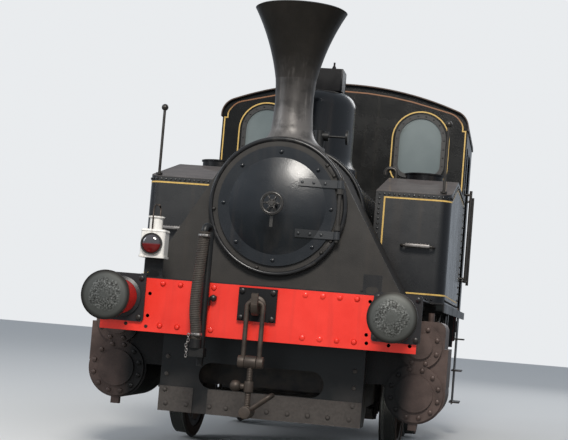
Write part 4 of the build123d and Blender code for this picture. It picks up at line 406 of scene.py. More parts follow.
ROAD_DUST = (0.085, 0.065, 0.05)
frame_black = paint("frame black", (0.010, 0.010, 0.011), 0.3, 0.48, ROAD_DUST, 1.35, 0.15)
dress(frame_black, "frame_plate_left", "frame_plate_right", "frame_stretchers", "running_plate")
dress(frame_black, "motion_brackets", "axleboxes", "leaf_springs", "brake_gear", "cab_steps")
dress(frame_black, "lamp_brackets")
pipe_black = paint("pipe black", (0.006, 0.006, 0.006), 0.3, 0.5, (0.03, 0.025, 0.02), 0.9, 0.1)
dress(pipe_black, "brake_pipe")


# Guard plate. A single steel plate across the frame fronts with a long slot, riveted to the frame edges;
# two flat strips that stiffen its foot are grey-brown with brake dust, and above them the plate is
# painted near-black as a painted shadow of the beam.
def only(kind, geom):
    """The vertices, edges or faces among what an operator made."""
    return [item for item in geom if isinstance(item, kind)]


def head_template(segments, radius, height, crown):
    """A rivet or bolt head standing on Z = 0: a flat ring that narrows by crown to a closed top."""
    head = bmesh.new()
    bmesh.ops.create_circle(head, cap_ends=True, segments=segments, radius=radius)
    face = head.faces[:][0]
    for rise, share in crown:
        grown = bmesh.ops.extrude_face_region(head, geom=[face])
        face = only(bmesh.types.BMFace, grown["geom"])[0]
        bmesh.ops.translate(head, vec=(0, 0, height * rise), verts=face.verts)
        bmesh.ops.scale(head, vec=(share, share, 1), verts=face.verts)
    mesh = bpy.data.meshes.new("head_template")
    bmesh.ops.recalc_face_normals(head, faces=head.faces)
    head.to_mesh(mesh)
    head.free()
    return mesh


def set_heads(bm, template, spots, direction):
    """Sets a rivet or bolt head at each spot, standing along a direction."""
    for spot in spots:
        head = template.copy()
        head.transform(aim(spot, direction))
        bm.from_mesh(head)
        bpy.data.meshes.remove(head)


FORWARD = (0, -1, 0)
ROUND_CROWN = ((0.45, 0.94), (0.35, 0.72), (0.2, 0.5))
frame_rivet = head_template(12, 0.017, 0.012, ROUND_CROWN)
STRIP_THICKNESS = 0.008
STRIP_TOP_Z = 0.474
strip_face_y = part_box("guard_plate")[0].y
guard_face_y = strip_face_y + STRIP_THICKNESS
GUARD_RIVET_Z = 0.353
GUARD_RIVET_X = (-0.669, -0.519, -0.352, -0.23, -0.085, 0.06, 0.207, 0.352, 0.494, 0.642)
# Columns: x, z
GUARD_EDGE_RIVETS = (
    (-0.68, 0.448), (-0.68, 0.559), (-0.68, 0.683), (0.66, 0.448), (0.66, 0.571), (0.66, 0.69)
)
guard_paint, surface = finish_material("guard plate and painted beam shadow", (0.02, 0.02, 0.02), 0.45)
place = place_in(surface)
strip = remap(split(place)["Y"], guard_face_y - 0.002, strip_face_y + 0.002)
low = calc("MAXIMUM", strip, effect(surface, road_dust, Clean_Above=0.75, Grain=5.0)["Dust"])
fine = noise(place, 60, 8)
dust = mix(fine, (0.026, 0.022, 0.02), (0.076, 0.065, 0.058))
# Painted shadow: away from the strips and the dust the plate is painted near-black for the beam's shadow
shade = mix(low, (0.009, 0.01, 0.011), dust)
wire(surface, Base_Color=shade, Roughness=remap(low, 0, 1, 0.3, 0.75), Normal=bumps(fine, 0.2, 0.002))
dress(guard_paint, "guard_plate")

guard_rivets = bmesh.new()
spots = [(x, strip_face_y, GUARD_RIVET_Z) for x in GUARD_RIVET_X]
spots += [(x, strip_face_y if z < STRIP_TOP_Z else guard_face_y, z) for x, z in GUARD_EDGE_RIVETS]
set_heads(guard_rivets, frame_rivet, spots, FORWARD)
piece("guard_plate_rivets", guard_rivets, guard_paint)


# Buffer beams. Heavy steel plates in signal red, thickly brushed over rows of dome rivets and old
# bolt holes; a narrow step angle of the same red runs along the foot.
beam_red, surface = finish_material("beam red", (0.84, 0.025, 0.018), 0.34, Coat_Weight=0.15)
plate = effect(surface, hammered_plate, Wave_Size=0.35, Brush_Marks=0.3)
runs = effect(surface, rain_streaks, Spread=11.0)
fresh = mix(plate["Patches"], (0.68, 0.018, 0.008), (0.92, 0.04, 0.02))
worn = mix(calc("MULTIPLY", runs["Streaks"], 0.28), fresh, (0.25, 0.012, 0.01))
front_beam_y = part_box("front_buffer_beam")[0].y
rear_beam_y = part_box("rear_buffer_beam")[1].y
BEAM_ENDS = ((front_beam_y, -1), (rear_beam_y, 1))
BEAM_EDGE = 0.022
reach = calc("ABSOLUTE", split(place_in(surface))["Y"])
sided = mix(calc("GREATER_THAN", reach, rear_beam_y - BEAM_EDGE), (0.012, 0.012, 0.013), worn)
gloss = remap(plate["Patches"], 0, 1, 0.2, 0.55)
wire(surface, Base_Color=sided, Roughness=gloss, Normal=bumps(plate["Height"], 0.3, 0.01))
dress(beam_red, "front_buffer_beam", "rear_buffer_beam")

BEAM_RIVET_ROWS = (1.187, 0.897)
BEAM_RIVET_X = (-0.67, -0.547, -0.312, 0.321, 0.44, 0.557, 0.675)
# Columns: x, z
BEAM_HOLES = (
    (-0.757, 1.112), (-0.761, 0.960), (-0.910, 0.894), (-0.767, 0.885), (0.763, 1.176), (0.754, 0.952),
    (0.759, 0.896), (0.909, 0.893), (1.050, 0.900),
)
beam_rivets = bmesh.new()
beam_rivet = head_template(14, 0.020, 0.012, ROUND_CROWN)
for face_y, outward in BEAM_ENDS:
    spots = [(x, face_y, z) for z in BEAM_RIVET_ROWS for x in BEAM_RIVET_X]
    set_heads(beam_rivets, beam_rivet, spots, (0, outward, 0))
piece("beam_rivets", beam_rivets, beam_red)

# Old bolt holes in the beam: shallow cups whose rims stand just proud of the paint, painted
# near-black inside as a painted shade of the hole
hole_shade = clouded(
    "painted hole shade", (0.012, 0.008, 0.007), 0.8, 180, 4, (0.004, 0.003, 0.003), (0.05, 0.02, 0.015)
)
hole_cup = head_template(12, 0.013, 0.0012, ((1.0, 0.94), (-0.5, 0.8)))
beam_holes = bmesh.new()
set_heads(beam_holes, hole_cup, [(x, front_beam_y, z) for x, z in BEAM_HOLES], FORWARD)
piece("beam_holes", beam_holes, hole_shade)


# Buffers. Cast housings on black square base plates with four nuts each, and forged spindles whose
# big domed heads are worn bright grey, scuffed in rings and stippled where the coats of oil dried.
BASE_PLATE_DEPTH = 0.02
FLANGE_DEPTH = 0.03
housing_paint, surface = finish_material("buffer housing paint", (0.7, 0.02, 0.015), 0.38)
reach = calc("ABSOLUTE", split(place_in(surface))["Y"])
on_base = calc("LESS_THAN", reach, rear_beam_y + BASE_PLATE_DEPTH + FLANGE_DEPTH)
plate = effect(surface, hammered_plate, Wave_Size=0.3, Brush_Marks=0.3)
red = mix(plate["Patches"], (0.26, 0.008, 0.007), (0.52, 0.022, 0.016))
shade = mix(on_base, red, (0.018, 0.018, 0.02))
wire(surface, Base_Color=shade, Normal=bumps(plate["Height"], 0.3, 0.008))
dress(housing_paint, "buffer_housings")

plunger_low, plunger_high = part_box("buffer_plungers")
buffer_z = (plunger_low.z + plunger_high.z) / 2
head_radius = (plunger_high.z - plunger_low.z) / 2
buffer_x = plunger_high.x - head_radius
worn_head, surface = finish_material("worn buffer steel", (0.2, 0.2, 0.2), 0.4, Metallic=0.8)
place = place_in(surface)
parts = split(place)
across = calc("SUBTRACT", calc("ABSOLUTE", parts["X"]), buffer_x)
upward = calc("SUBTRACT", parts["Z"], buffer_z)
flat = node(surface, "ShaderNodeCombineXYZ", {"X": across, "Y": upward}).outputs[0]
radius = node(surface, "ShaderNodeVectorMath", {0: flat}, operation="LENGTH").outputs["Value"]
ringed = calc("MULTIPLY_ADD", noise(place, 7, 4), 0.09, radius)
ring_place = node(surface, "ShaderNodeCombineXYZ", {"X": ringed}).outputs[0]
rings = noise(ring_place, 55, 5)
spots = noise(place, 95, 3)
band = calc("MULTIPLY", remap(ringed, 0.165, 0.145), remap(ringed, 0.055, 0.095))
stain = calc("MULTIPLY", remap(spots, 0.54, 0.62), band)
glint = calc("MULTIPLY", remap(spots, 0.44, 0.38), band)
bare = mix(rings, (0.09, 0.093, 0.085), (0.19, 0.193, 0.18))
specked = mix(glint, bare, (0.3, 0.3, 0.285))
marked = mix(stain, specked, (0.05, 0.048, 0.045))
rim = remap(radius, head_radius - 0.03, head_radius - 0.008)
shade = mix(rim, marked, (0.035, 0.033, 0.03))
wire(surface, Base_Color=shade, Roughness=remap(rings, 0, 1, 0.5, 0.28), Normal=bumps(rings, 0.12, 0.002))
dress(worn_head, "buffer_plungers")

# Four nuts on studs hold each housing's base plate
BASE_NUT_REACH = 0.135
HEX_CROWN = ((0.85, 1.0), (0.15, 0.86))
hex_bolt = head_template(6, 0.019, 0.016, HEX_CROWN)
base_nuts = bmesh.new()
for face_y, outward in BEAM_ENDS:
    seat_y = face_y + outward * BASE_PLATE_DEPTH
    for side in (-1, 1):
        reaches = (-BASE_NUT_REACH, BASE_NUT_REACH)
        spots = [(side * buffer_x + x, seat_y, buffer_z + z) for x in reaches for z in reaches]
        set_heads(base_nuts, hex_bolt, spots, (0, outward, 0))
piece("buffer_base_nuts", base_nuts, frame_black)


# Draw hooks and screw couplings. Forged hooks on black draw plates, and shackles, links and a
# threaded spindle with a weighted handle, all dark brown steel polished where the parts rub.
THREAD_PITCH = 0.011
THREAD_HALF = 0.019
THREAD_TOP = 0.82
hook_steel, surface = finish_material("dark forged steel", (0.05, 0.045, 0.04), 0.5, Metallic=0.6)
place = place_in(surface)
parts = split(place)
patches = noise(place, 13, 8)
thread = calc("SINE", calc("MULTIPLY", parts["Z"], 2 * pi / THREAD_PITCH))
on_screw = calc("LESS_THAN", calc("ABSOLUTE", parts["X"]), THREAD_HALF)
threaded = calc("MULTIPLY", on_screw, calc("LESS_THAN", parts["Z"], THREAD_TOP))
skin = calc("MULTIPLY_ADD", calc("MULTIPLY", thread, threaded), 0.8, noise(place, 150, 4))
shade = mix(patches, (0.022, 0.02, 0.019), (0.13, 0.1, 0.08))
wire(surface, Base_Color=shade, Roughness=remap(patches, 0, 1, 0.35, 0.7), Normal=bumps(skin, 0.5, 0.002))
dress(hook_steel, "screw_coupling_front", "screw_coupling_rear")


def variant(material, name):
    """A copy of a material under a name of its own."""
    made = material.copy()
    made.name = name
    return made


def second_coat(material):
    """A finished material's shader, and the outputs that feed its colour and its roughness."""
    surface = material.node_tree.nodes["Principled BSDF"]
    feeds = [surface.inputs[socket].links for socket in ("Base Color", "Roughness")]
    return surface, *[links[0].from_socket if links else None for links in feeds]


# Turned pieces on each coupling: the barrels of its two nuts, the eyes of the links and the boss of
# the weighted handle, each with rounded rims
turned_steel = variant(hook_steel, "turned coupling steel")
surface = second_coat(turned_steel)[0]
surface.inputs["Metallic"].default_value = 0.5
turned_steel.node_tree.links.remove(surface.inputs["Normal"].links[0])
COUPLING_REACH = 3.242
ALONG_X = Matrix.Rotation(pi / 2, 4, "Y")
ALONG_Y = Matrix.Rotation(pi / 2, 4, "X")
UPRIGHT = Matrix()
# Columns: height, turn, place along the pin, radius, length
COUPLING_TURNINGS = (
    (0.706, ALONG_X, 0, 0.043, 0.080),
    (0.706, ALONG_X, -0.064, 0.041, 0.046),
    (0.706, ALONG_X, 0.064, 0.041, 0.046),
    (0.540, UPRIGHT, 0, 0.032, 0.074),
    (0.540, ALONG_X, -0.044, 0.019, 0.030),
    (0.370, ALONG_Y, 0, 0.045, 0.070),
    (0.370, ALONG_Y, -0.062, 0.041, 0.052),
    (0.370, ALONG_Y, 0.062, 0.041, 0.052),
)
TURNED_CHAMFER = 0.005
for end, outward in (("front", -1), ("rear", 1)):
    turnings = bmesh.new()
    for height, turn, offset, radius, length in COUPLING_TURNINGS:
        pin = Matrix.Translation((0, outward * COUPLING_REACH, height)) @ turn
        barrel = drum(turnings, radius, length, pin @ Matrix.Translation((0, 0, offset)), 28)
        rims = [edge for edge in edges_of(barrel) if any(len(face.verts) > 4 for face in edge.link_faces)]
        round_off(turnings, rims, TURNED_CHAMFER, 3)
    name = f"coupling_turnings_{end}"
    piece(name, turnings, turned_steel, body=f"screw_coupling_{end}")

# The hooks' draw plates lie on the beams and are painted with the frames; bare steel starts off them
DRAW_PLATE_DEPTH = 0.025
DRAW_PLATE_Z = 1.092
DRAW_BOLT_REACH = (0.107, 0.090)
draw_steel = variant(hook_steel, "draw hook steel and plate black")
surface, bare, _ = second_coat(draw_steel)
reach = calc("ABSOLUTE", split(place_in(surface))["Y"])
on_plate = calc("LESS_THAN", reach, rear_beam_y + DRAW_PLATE_DEPTH + 0.001)
wire(surface, Base_Color=mix(on_plate, bare, (0.013, 0.013, 0.014)))
dress(draw_steel, "draw_hooks")
HOOK_COLLAR = (0.064, 0.014)
collar = head_template(36, *HOOK_COLLAR, ((0.75, 0.98), (0.25, 0.95)))
hook_collars = bmesh.new()
draw_bolts = bmesh.new()
for face_y, outward in BEAM_ENDS:
    seat_y = face_y + outward * DRAW_PLATE_DEPTH
    reach_x, reach_z = DRAW_BOLT_REACH
    spots = [(x, seat_y, DRAW_PLATE_Z + z) for x in (-reach_x, reach_x) for z in (-reach_z, reach_z)]
    set_heads(draw_bolts, hex_bolt, spots, (0, outward, 0))
    set_heads(hook_collars, collar, [(0, seat_y, DRAW_PLATE_Z)], (0, outward, 0))
piece("hook_collars", hook_collars, turned_steel)
clip_stud = head_template(6, 0.024, 0.05, HEX_CROWN)
set_heads(draw_bolts, clip_stud, [(-0.306, front_beam_y, 1.115)], FORWARD)
piece("draw_plate_bolts", draw_bolts, frame_black)


# Smokebox, its ring and the door. Thick steel plate in heat-dulled black; the pressed door is dished
# like a shield, hangs on two forged straps and is clamped all round the rim by studs and dogs.
ASH = (0.07, 0.055, 0.045)
SMOKEBOX_PLATE_Y = -2.630
smokebox_paint = paint(
    "smokebox black", (0.042, 0.039, 0.036), 0.32, 0.5, ASH, 1.5, 0.3, Specular_IOR_Level=0.3
)
surface, painted, glossed = second_coat(smokebox_paint)
along = split(place_in(surface))["Y"]
wrapper = remap(along, SMOKEBOX_PLATE_Y + 0.012, SMOKEBOX_PLATE_Y + 0.03)
rough = calc("MAXIMUM", calc("MULTIPLY", wrapper, 0.8), glossed)
wire(surface, Base_Color=mix(wrapper, painted, (0.013, 0.011, 0.01)), Roughness=rough)
dress(smokebox_paint, "smokebox", "door_hinge")
door_paint = paint(
    "door black", (0.009, 0.0115, 0.015), 0.26, 0.38, ASH, 1.3, 0.2, Coat_Weight=0.2, Coat_Roughness=0.12
)
dress(door_paint, "smokebox_door")
BOILER_Z = 1.812
HANDWHEEL_Y = -2.88
RING_STUD_RADIUS = 0.462
DOOR_STUD_RADIUS = 0.390
DOOR_STUD_PITCH = 45
RING_STUD_ANGLES = (32, 43, 186, 256, 318, 331)
STRAP_HEIGHTS = (BOILER_Z + 0.181, BOILER_Z - 0.184)
STRAP_HALF = 0.028
STRAP_INNER_X = 0.15
STRAP_BOLT_X = (0.175, 0.255, 0.335)
surface, painted, glossed = second_coat(door_paint)
parts = split(place_in(surface))
above, below = [calc("COMPARE", parts["Z"], height, STRAP_HALF) for height in STRAP_HEIGHTS]
beyond = calc("GREATER_THAN", parts["X"], STRAP_INNER_X)
on_strap = calc("MULTIPLY", calc("ADD", above, below), beyond)
strapped = mix(on_strap, painted, (0.028, 0.03, 0.033))
rough = calc("MAXIMUM", calc("MULTIPLY", on_strap, 0.45), glossed)
handled = calc("LESS_THAN", parts["Y"], HANDWHEEL_Y)
shade = mix(handled, strapped, (0.13, 0.12, 0.11))
wire(surface, Base_Color=shade, Roughness=rough, Metallic=calc("MULTIPLY", handled, 0.95))
DISH_RADIUS = 0.35
DISH_DEPTH = 0.06
ring_face_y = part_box("smokebox")[0].y
door_rim_y = ring_face_y - 0.0204
strap_face_y = door_rim_y - 0.012


def ring_of(centre, radius, angles):
    """Spots on a circle that faces the front; 0 degrees points right."""
    x, y, z = centre
    return [(x + radius * cos(radians(angle)), y, z + radius * sin(radians(angle))) for angle in angles]


def dish_rise(radius):
    """How far the dished centre stands out of the door's flat rim at a radius."""
    curve = (DISH_RADIUS**2 + DISH_DEPTH**2) / (2 * DISH_DEPTH)
    return max(0, sqrt(curve**2 - radius**2) - curve + DISH_DEPTH)


STUD_PLATE = (0.118, 0.007, 0.032)
STUD_PLATE_ANGLES = (37.5, 324.5)
plate_centre = (0, ring_face_y - STUD_PLATE[1] / 2, BOILER_Z)
ring_studs = bmesh.new()
for angle, spot in zip(STUD_PLATE_ANGLES, ring_of(plate_centre, RING_STUD_RADIUS, STUD_PLATE_ANGLES)):
    block(ring_studs, STUD_PLATE, spot, Matrix.Rotation(-radians(angle) - pi / 2, 4, "Y"), rounding=0.003)
ring_bolt = head_template(8, 0.0135, 0.019, ((0.7, 0.95), (0.3, 0.6)))
spots = ring_of((0, ring_face_y, BOILER_Z), RING_STUD_RADIUS, RING_STUD_ANGLES)
set_heads(ring_studs, ring_bolt, spots, FORWARD)
piece("door_ring_studs", ring_studs, smokebox_paint)

door_bolt = head_template(12, 0.0155, 0.014, ROUND_CROWN)
small_bolt = head_template(6, 0.011, 0.010, HEX_CROWN)
door_studs = bmesh.new()
spots = ring_of((0, door_rim_y, BOILER_Z), DOOR_STUD_RADIUS, range(0, 360, DOOR_STUD_PITCH))
set_heads(door_studs, door_bolt, spots, FORWARD)
for strap_z in STRAP_HEIGHTS:
    for x in STRAP_BOLT_X:
        y = strap_face_y - dish_rise(sqrt(x * x + (strap_z - BOILER_Z) ** 2))
        set_heads(door_studs, small_bolt, [(x, y + 0.002, strap_z)], FORWARD)
piece("door_studs", door_studs, door_paint, body="smokebox_door")

# Handwheel: a round-rimmed wheel of black iron, rubbed shiny by oily gloves
HANDWHEEL_RADIUS = 0.073
HANDWHEEL_ROD = 0.0115
HANDWHEEL_MIDDLE_Y = -2.920
SPOKE_SIZE = (0.0066, 0.0104, 0.056)
wheel_iron = clouded(
    "gloved black iron", (0.05, 0.047, 0.045), 0.25, 40, 5, (0.012, 0.011, 0.011), (0.11, 0.105, 0.1),
    (0.4, 0.14), Metallic=0.6,
)
handwheel = bmesh.new()
hub = Matrix.Translation((0, HANDWHEEL_MIDDLE_Y, BOILER_Z))
hoop(handwheel, hub.translation, HANDWHEEL_RADIUS, HANDWHEEL_ROD, 12, 48)
for angle in range(0, 360, 60):
    spoke = hub @ Matrix.Rotation(radians(angle), 4, "Y") @ Matrix.Translation((HANDWHEEL_RADIUS / 2, 0, 0))
    drum(handwheel, 1, 1, spoke @ ALONG_X @ Matrix.Diagonal((*SPOKE_SIZE, 1)), 12)
piece("door_handwheel", handwheel, wheel_iron, body="smokebox_door")

# Bead round the ring: a half-round bar bent to a hoop, worn bright along its crest
bead_steel, surface = finish_material("worn black bead", (0.03, 0.03, 0.032), 0.28)
worn = remap(effect(surface, hammered_plate, Wave_Size=0.25)["Patches"], 0.55, 0.75)
wire(surface, Base_Color=mix(worn, (0.014, 0.014, 0.015), (0.09, 0.082, 0.075)))
BEAD_RADIUS = 0.016
RING_RADIUS = 0.502
ring_bead = bmesh.new()
hoop(ring_bead, (0, ring_face_y, BOILER_Z), RING_RADIUS - BEAD_RADIUS, BEAD_RADIUS, 12, 96)
piece("door_ring_bead", ring_bead, bead_steel)


# Chimney. Cast iron with a flared cap, its paint burnt to a dark brownish bloom that the rain has
# drawn into upright streaks, thinning to bare grey iron lower down, with a painted highlight of pale
# grey at the foot.
CHIMNEY_WORN = (2.95, 2.45)  # heights between which the paint thins
CHIMNEY_FOOT_HIGHLIGHT = (2.62, 2.44)  # heights between which the foot is painted pale grey, a painted highlight
chimney_iron, surface = finish_material("burnt chimney iron", (0.03, 0.027, 0.024), 0.4, Metallic=0.25)
place = place_in(surface)
height = split(place)["Z"]
runs = effect(surface, rain_streaks, Spread=34.0)
plate = effect(surface, hammered_plate, Wave_Size=0.35, Brush_Marks=0.5)
worn_low = remap(height, *CHIMNEY_WORN)
brown = mix(plate["Patches"], (0.008, 0.007, 0.006), (0.03, 0.025, 0.021))
bared = mix(worn_low, brown, (0.085, 0.077, 0.072))
streaked = mix(calc("MULTIPLY", runs["Streaks"], worn_low), bared, (0.24, 0.22, 0.205))
# Painted highlight: the foot is lightened to a pale grey
shade = mix(remap(height, *CHIMNEY_FOOT_HIGHLIGHT), streaked, (0.15, 0.138, 0.13))
scorched = remap(noise(place, 11, 7, 0.6), 0.46, 0.62, 1, 0.45)
mottled = mix(scorched, (0.016, 0.014, 0.012), shade)
rough = remap(plate["Patches"], 0, 1, 0.22, 0.5)
wire(surface, Base_Color=mottled, Roughness=rough, Normal=bumps(plate["Height"], 0.3, 0.008))
dress(chimney_iron, "chimney")


# Boiler cladding and its bands. Thin sheet over lagging in gloss black, dusted along the sides, and
# flat steel bands that hold it, in the same paint.
cladding = paint("cladding black", (0.012, 0.013, 0.015), 0.2, 0.36, ROAD_DUST, 1.2, 0.2, Coat_Weight=0.2)
dress(cladding, "boiler")
BOILER_RADIUS = 0.51
BAND_PLACES = (-1.862, -1.44, -0.64, -0.2, 0.25, 0.72)
BAND_WIDTH = 0.055
BAND_RISE = 0.003
boiler_bands = bmesh.new()
for y in BAND_PLACES:
    place = Matrix.Translation((0, y, BOILER_Z)) @ ALONG_Y
    walls = faces_of(drum(boiler_bands, BOILER_RADIUS + BAND_RISE, BAND_WIDTH, place, 96, caps=False))
    bmesh.ops.recalc_face_normals(boiler_bands, faces=walls)
    bmesh.ops.solidify(boiler_bands, geom=walls, thickness=BAND_RISE)
piece("boiler_bands", boiler_bands, cladding)


# Dome and safety valve box. The dome's sheet casing has the glossiest paint on the engine, with a
# blue cast; a plain boxed casing with corner irons hides the safety valves.
dome_paint = paint("dome black", (0.006, 0.007, 0.009), 0.16, 0.3, ASH, 1.2, 0.2, Coat_Weight=0.1)
dress(dome_paint, "dome")
box_paint = paint(
    "valve box black", (0.007, 0.007, 0.008), 0.28, 0.42, ASH, 1.2, 0.3, Specular_IOR_Level=0.25
)
dress(box_paint, "safety_valve_box")
dress(pipe_black, "blower_valve")

box_low, box_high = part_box("safety_valve_box")
dome_top_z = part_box("dome")[1].z
BOX_HEIGHT = 0.182
CORNER_IRON = 0.02
PROUD = 0.002
box_middle = (box_low + box_high) / 2
seam_x = box_high.x - CORNER_IRON / 2 + PROUD
seam_reach = (box_high.y - box_low.y) / 2 - CORNER_IRON / 2 + PROUD
box_seams = bmesh.new()
for x in (-seam_x, seam_x):
    for y in (box_middle.y - seam_reach, box_middle.y + seam_reach):
        spot = (x, y, dome_top_z + BOX_HEIGHT / 2)
        block(box_seams, (CORNER_IRON, CORNER_IRON, BOX_HEIGHT), spot, rounding=0.004)
piece("valve_box_seams", box_seams, box_paint)


# Side tanks. Riveted plate tanks with sloping tops, edged by close rivets along the top, the foot and
# the inner corner and lined out with a thin gold-yellow line that runs round onto the sides.
TANK_CORNER = 0.1
TANK_FRONT_TOP = 2.058
TANK_SLOPE_END = -0.75
TANK_DARKER_LOW = (1.3, 1.95)  # darker towards the bottom: near-black low down, the full paint higher up
tank_paint = paint("tank black", (0.040, 0.040, 0.040), 0.2, 0.36, ROAD_DUST, 1.3, 0.25, Coat_Weight=0.15)
tank_low, tank_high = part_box("side_tank_right")
top_slope = (tank_high.z - TANK_FRONT_TOP) / (TANK_SLOPE_END - tank_low.y)
surface, painted, glossed = second_coat(tank_paint)
place = place_in(surface)
parts = split(place)
roof_line = calc("MULTIPLY_ADD", parts["Y"], top_slope, TANK_FRONT_TOP - top_slope * tank_low.y)
depth = calc("SUBTRACT", calc("MINIMUM", roof_line, tank_high.z), parts["Z"])
on_top = remap(depth, 0.004, 0.001)
# Painted reflection: a dark band is painted down each tank's rounded front corner
round_x = remap(calc("ABSOLUTE", parts["X"]), tank_high.x - 0.09, tank_high.x - 0.05)
round_y = remap(parts["Y"], tank_low.y + 0.115, tank_low.y + 0.085)
# The tank paint is made darker towards the bottom
toned = mix(remap(parts["Z"], *TANK_DARKER_LOW), (0.012, 0.012, 0.013), painted)
corner_reflected = mix(calc("MULTIPLY", round_x, round_y), toned, (0.004, 0.004, 0.005))
fallen = mix(noise(place, 7, 8), (0.045, 0.038, 0.036), (0.15, 0.125, 0.115))
rough = calc("MAXIMUM", calc("MULTIPLY", on_top, 0.85), glossed)
wire(surface, Base_Color=mix(on_top, corner_reflected, fallen), Roughness=rough)
dress(tank_paint, "side_tank_left", "side_tank_right")
dress(box_paint, "tank_lid_left", "tank_lid_right", "filler_necks")

lining_gold = clouded(
    "lining yellow", (0.9, 0.62, 0.16), 0.4, 26, 5, (0.52, 0.3, 0.06), (0.8, 0.57, 0.18),
    relief=(0.2, 0.001),
)
LINE_WIDTH = 0.012
LINE_RISE = 0.001


def row(start, end, count):
    """Evenly spaced spots from one point to another, both included."""
    first, last = Vector(start), Vector(end)
    return [first.lerp(last, index / (count - 1)) for index in range(count)]


def start_line(bm, spot, across):
    """Starts a painted line as one edge; the line grows from it."""
    half = Vector(across) * LINE_WIDTH / 2
    return bm.edges.new((bm.verts.new(Vector(spot) - half), bm.verts.new(Vector(spot) + half)))


def run_line(bm, edge, vec):
    """Carries a painted line straight on and returns its new end."""
    grown = bmesh.ops.extrude_edge_only(bm, edges=[edge])["geom"]
    bmesh.ops.translate(bm, vec=vec, verts=only(bmesh.types.BMVert, grown))
    return [item for item in only(bmesh.types.BMEdge, grown) if len(item.link_faces) == 1][0]


def turn_line(bm, edge, centre, angle):
    """Carries a painted line round an upright corner and returns its new end."""
    turned = bmesh.ops.spin(
        bm, geom=[edge], cent=centre, axis=(0, 0, 1), dvec=(0, 0, 0), angle=angle, steps=8, use_merge=False
    )
    return only(bmesh.types.BMEdge, turned["geom_last"])[0]


LINE_INNER_X = 0.674
LINE_TOP_Z = 2.011
LINE_BOTTOM_Z = 1.288
LINE_BACK_INSET = 0.06
TANK_RIVET_PITCH = 0.036
SIDE_RIVET_PITCH = 0.06
RIVET_INSET = 0.03
RIVET_TOP_Z = 2.036
RIVET_FOOT_Z = 1.25
INNER_ROW = (2.0, 1.26)
INNER_RIVETS = 20
CORNER_RIVET_ANGLES = (20, 45, 70)
tank_rivet = head_template(10, 0.0105, 0.009, ROUND_CROWN)
front_y, back_y = tank_low.y, tank_high.y
turn_x = tank_high.x - TANK_CORNER
turn_y = front_y + TANK_CORNER
rise = top_slope * (TANK_SLOPE_END - turn_y)
back_line_y = back_y - LINE_BACK_INSET
rivet_x = tank_low.x + RIVET_INSET
back_rivet_y = back_y - RIVET_INSET
# Each line round a tank: its height and how it goes on along the side
TANK_LINES = (
    (LINE_TOP_Z, ((0, TANK_SLOPE_END - turn_y, rise), (0, back_line_y - TANK_SLOPE_END, 0))),
    (LINE_BOTTOM_Z, ((0, back_line_y - turn_y, 0),)),
)
# Rows of side rivets from one y and z to another
SIDE_RIVETS = (
    ((turn_y, RIVET_TOP_Z), (TANK_SLOPE_END, RIVET_TOP_Z + rise)),
    ((TANK_SLOPE_END + SIDE_RIVET_PITCH, RIVET_TOP_Z + rise), (back_rivet_y, RIVET_TOP_Z + rise)),
    ((turn_y, RIVET_FOOT_Z), (back_rivet_y, RIVET_FOOT_Z)),
    ((back_rivet_y, 1.31), (back_rivet_y, 2.18)),
)
for side, sign in (("left", -1), ("right", 1)):
    tank_line = bmesh.new()
    for height, legs in TANK_LINES:
        line = start_line(tank_line, (sign * LINE_INNER_X, front_y - LINE_RISE, height), (0, 0, 1))
        line = run_line(tank_line, line, (sign * (turn_x - LINE_INNER_X), 0, 0))
        line = turn_line(tank_line, line, (sign * turn_x, turn_y, 0), sign * pi / 2)
        for leg in legs:
            line = run_line(tank_line, line, leg)
    upright_foot = LINE_BOTTOM_Z + LINE_WIDTH / 2
    upright_height = LINE_TOP_Z - LINE_BOTTOM_Z - LINE_WIDTH
    spot = (sign * (LINE_INNER_X + LINE_WIDTH / 2), front_y - LINE_RISE, upright_foot)
    run_line(tank_line, start_line(tank_line, spot, (1, 0, 0)), (0, 0, upright_height))
    spot = (sign * (tank_high.x + LINE_RISE), back_line_y - LINE_WIDTH / 2, upright_foot)
    run_line(tank_line, start_line(tank_line, spot, (0, 1, 0)), (0, 0, upright_height + rise))
    piece(f"tank_lining_{side}", tank_line, lining_gold, smooth=False)

    tank_rivets = bmesh.new()
    across = int((turn_x - rivet_x - 0.01) / TANK_RIVET_PITCH) + 1
    for start, end, count in (
        ((rivet_x, RIVET_TOP_Z), (turn_x, RIVET_TOP_Z), across),
        ((rivet_x, INNER_ROW[0]), (rivet_x, INNER_ROW[1]), INNER_RIVETS),
        ((rivet_x, RIVET_FOOT_Z), (turn_x, RIVET_FOOT_Z), across),
    ):
        spots = row((sign * start[0], front_y, start[1]), (sign * end[0], front_y, end[1]), count)
        set_heads(tank_rivets, tank_rivet, spots, FORWARD)
    for angle in CORNER_RIVET_ANGLES:
        way = Vector((sign * sin(radians(angle)), -cos(radians(angle)), 0))
        spot = Vector((sign * turn_x, turn_y, RIVET_TOP_Z)) + way * TANK_CORNER
        set_heads(tank_rivets, tank_rivet, [spot], way)
    for start, end in SIDE_RIVETS:
        first, last = Vector((sign * tank_high.x, *start)), Vector((sign * tank_high.x, *end))
        count = int((last - first).length / SIDE_RIVET_PITCH) + 1
        set_heads(tank_rivets, tank_rivet, row(first, last, count), (sign, 0, 0))
    piece(f"tank_rivets_{side}", tank_rivets, tank_paint)


# Cab sheets and lining. Flat steel plate in black, lined in yellow with a border that steps in at the
# shoulders and follows the roof, and a second line round each window.
cab_paint = paint(
    "cab black", (0.006, 0.006, 0.0055), 0.2, 0.32, (0.03, 0.026, 0.02), 1.7, 0.25, Specular_IOR_Level=0.3
)
dress(cab_paint, "cab_front_sheet", "cab_rear_sheet", "cab_side_left", "cab_side_right", "coal_bunker")
cab_front_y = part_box("cab_front_sheet")[0].y
cab_back_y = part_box("cab_rear_sheet")[1].y


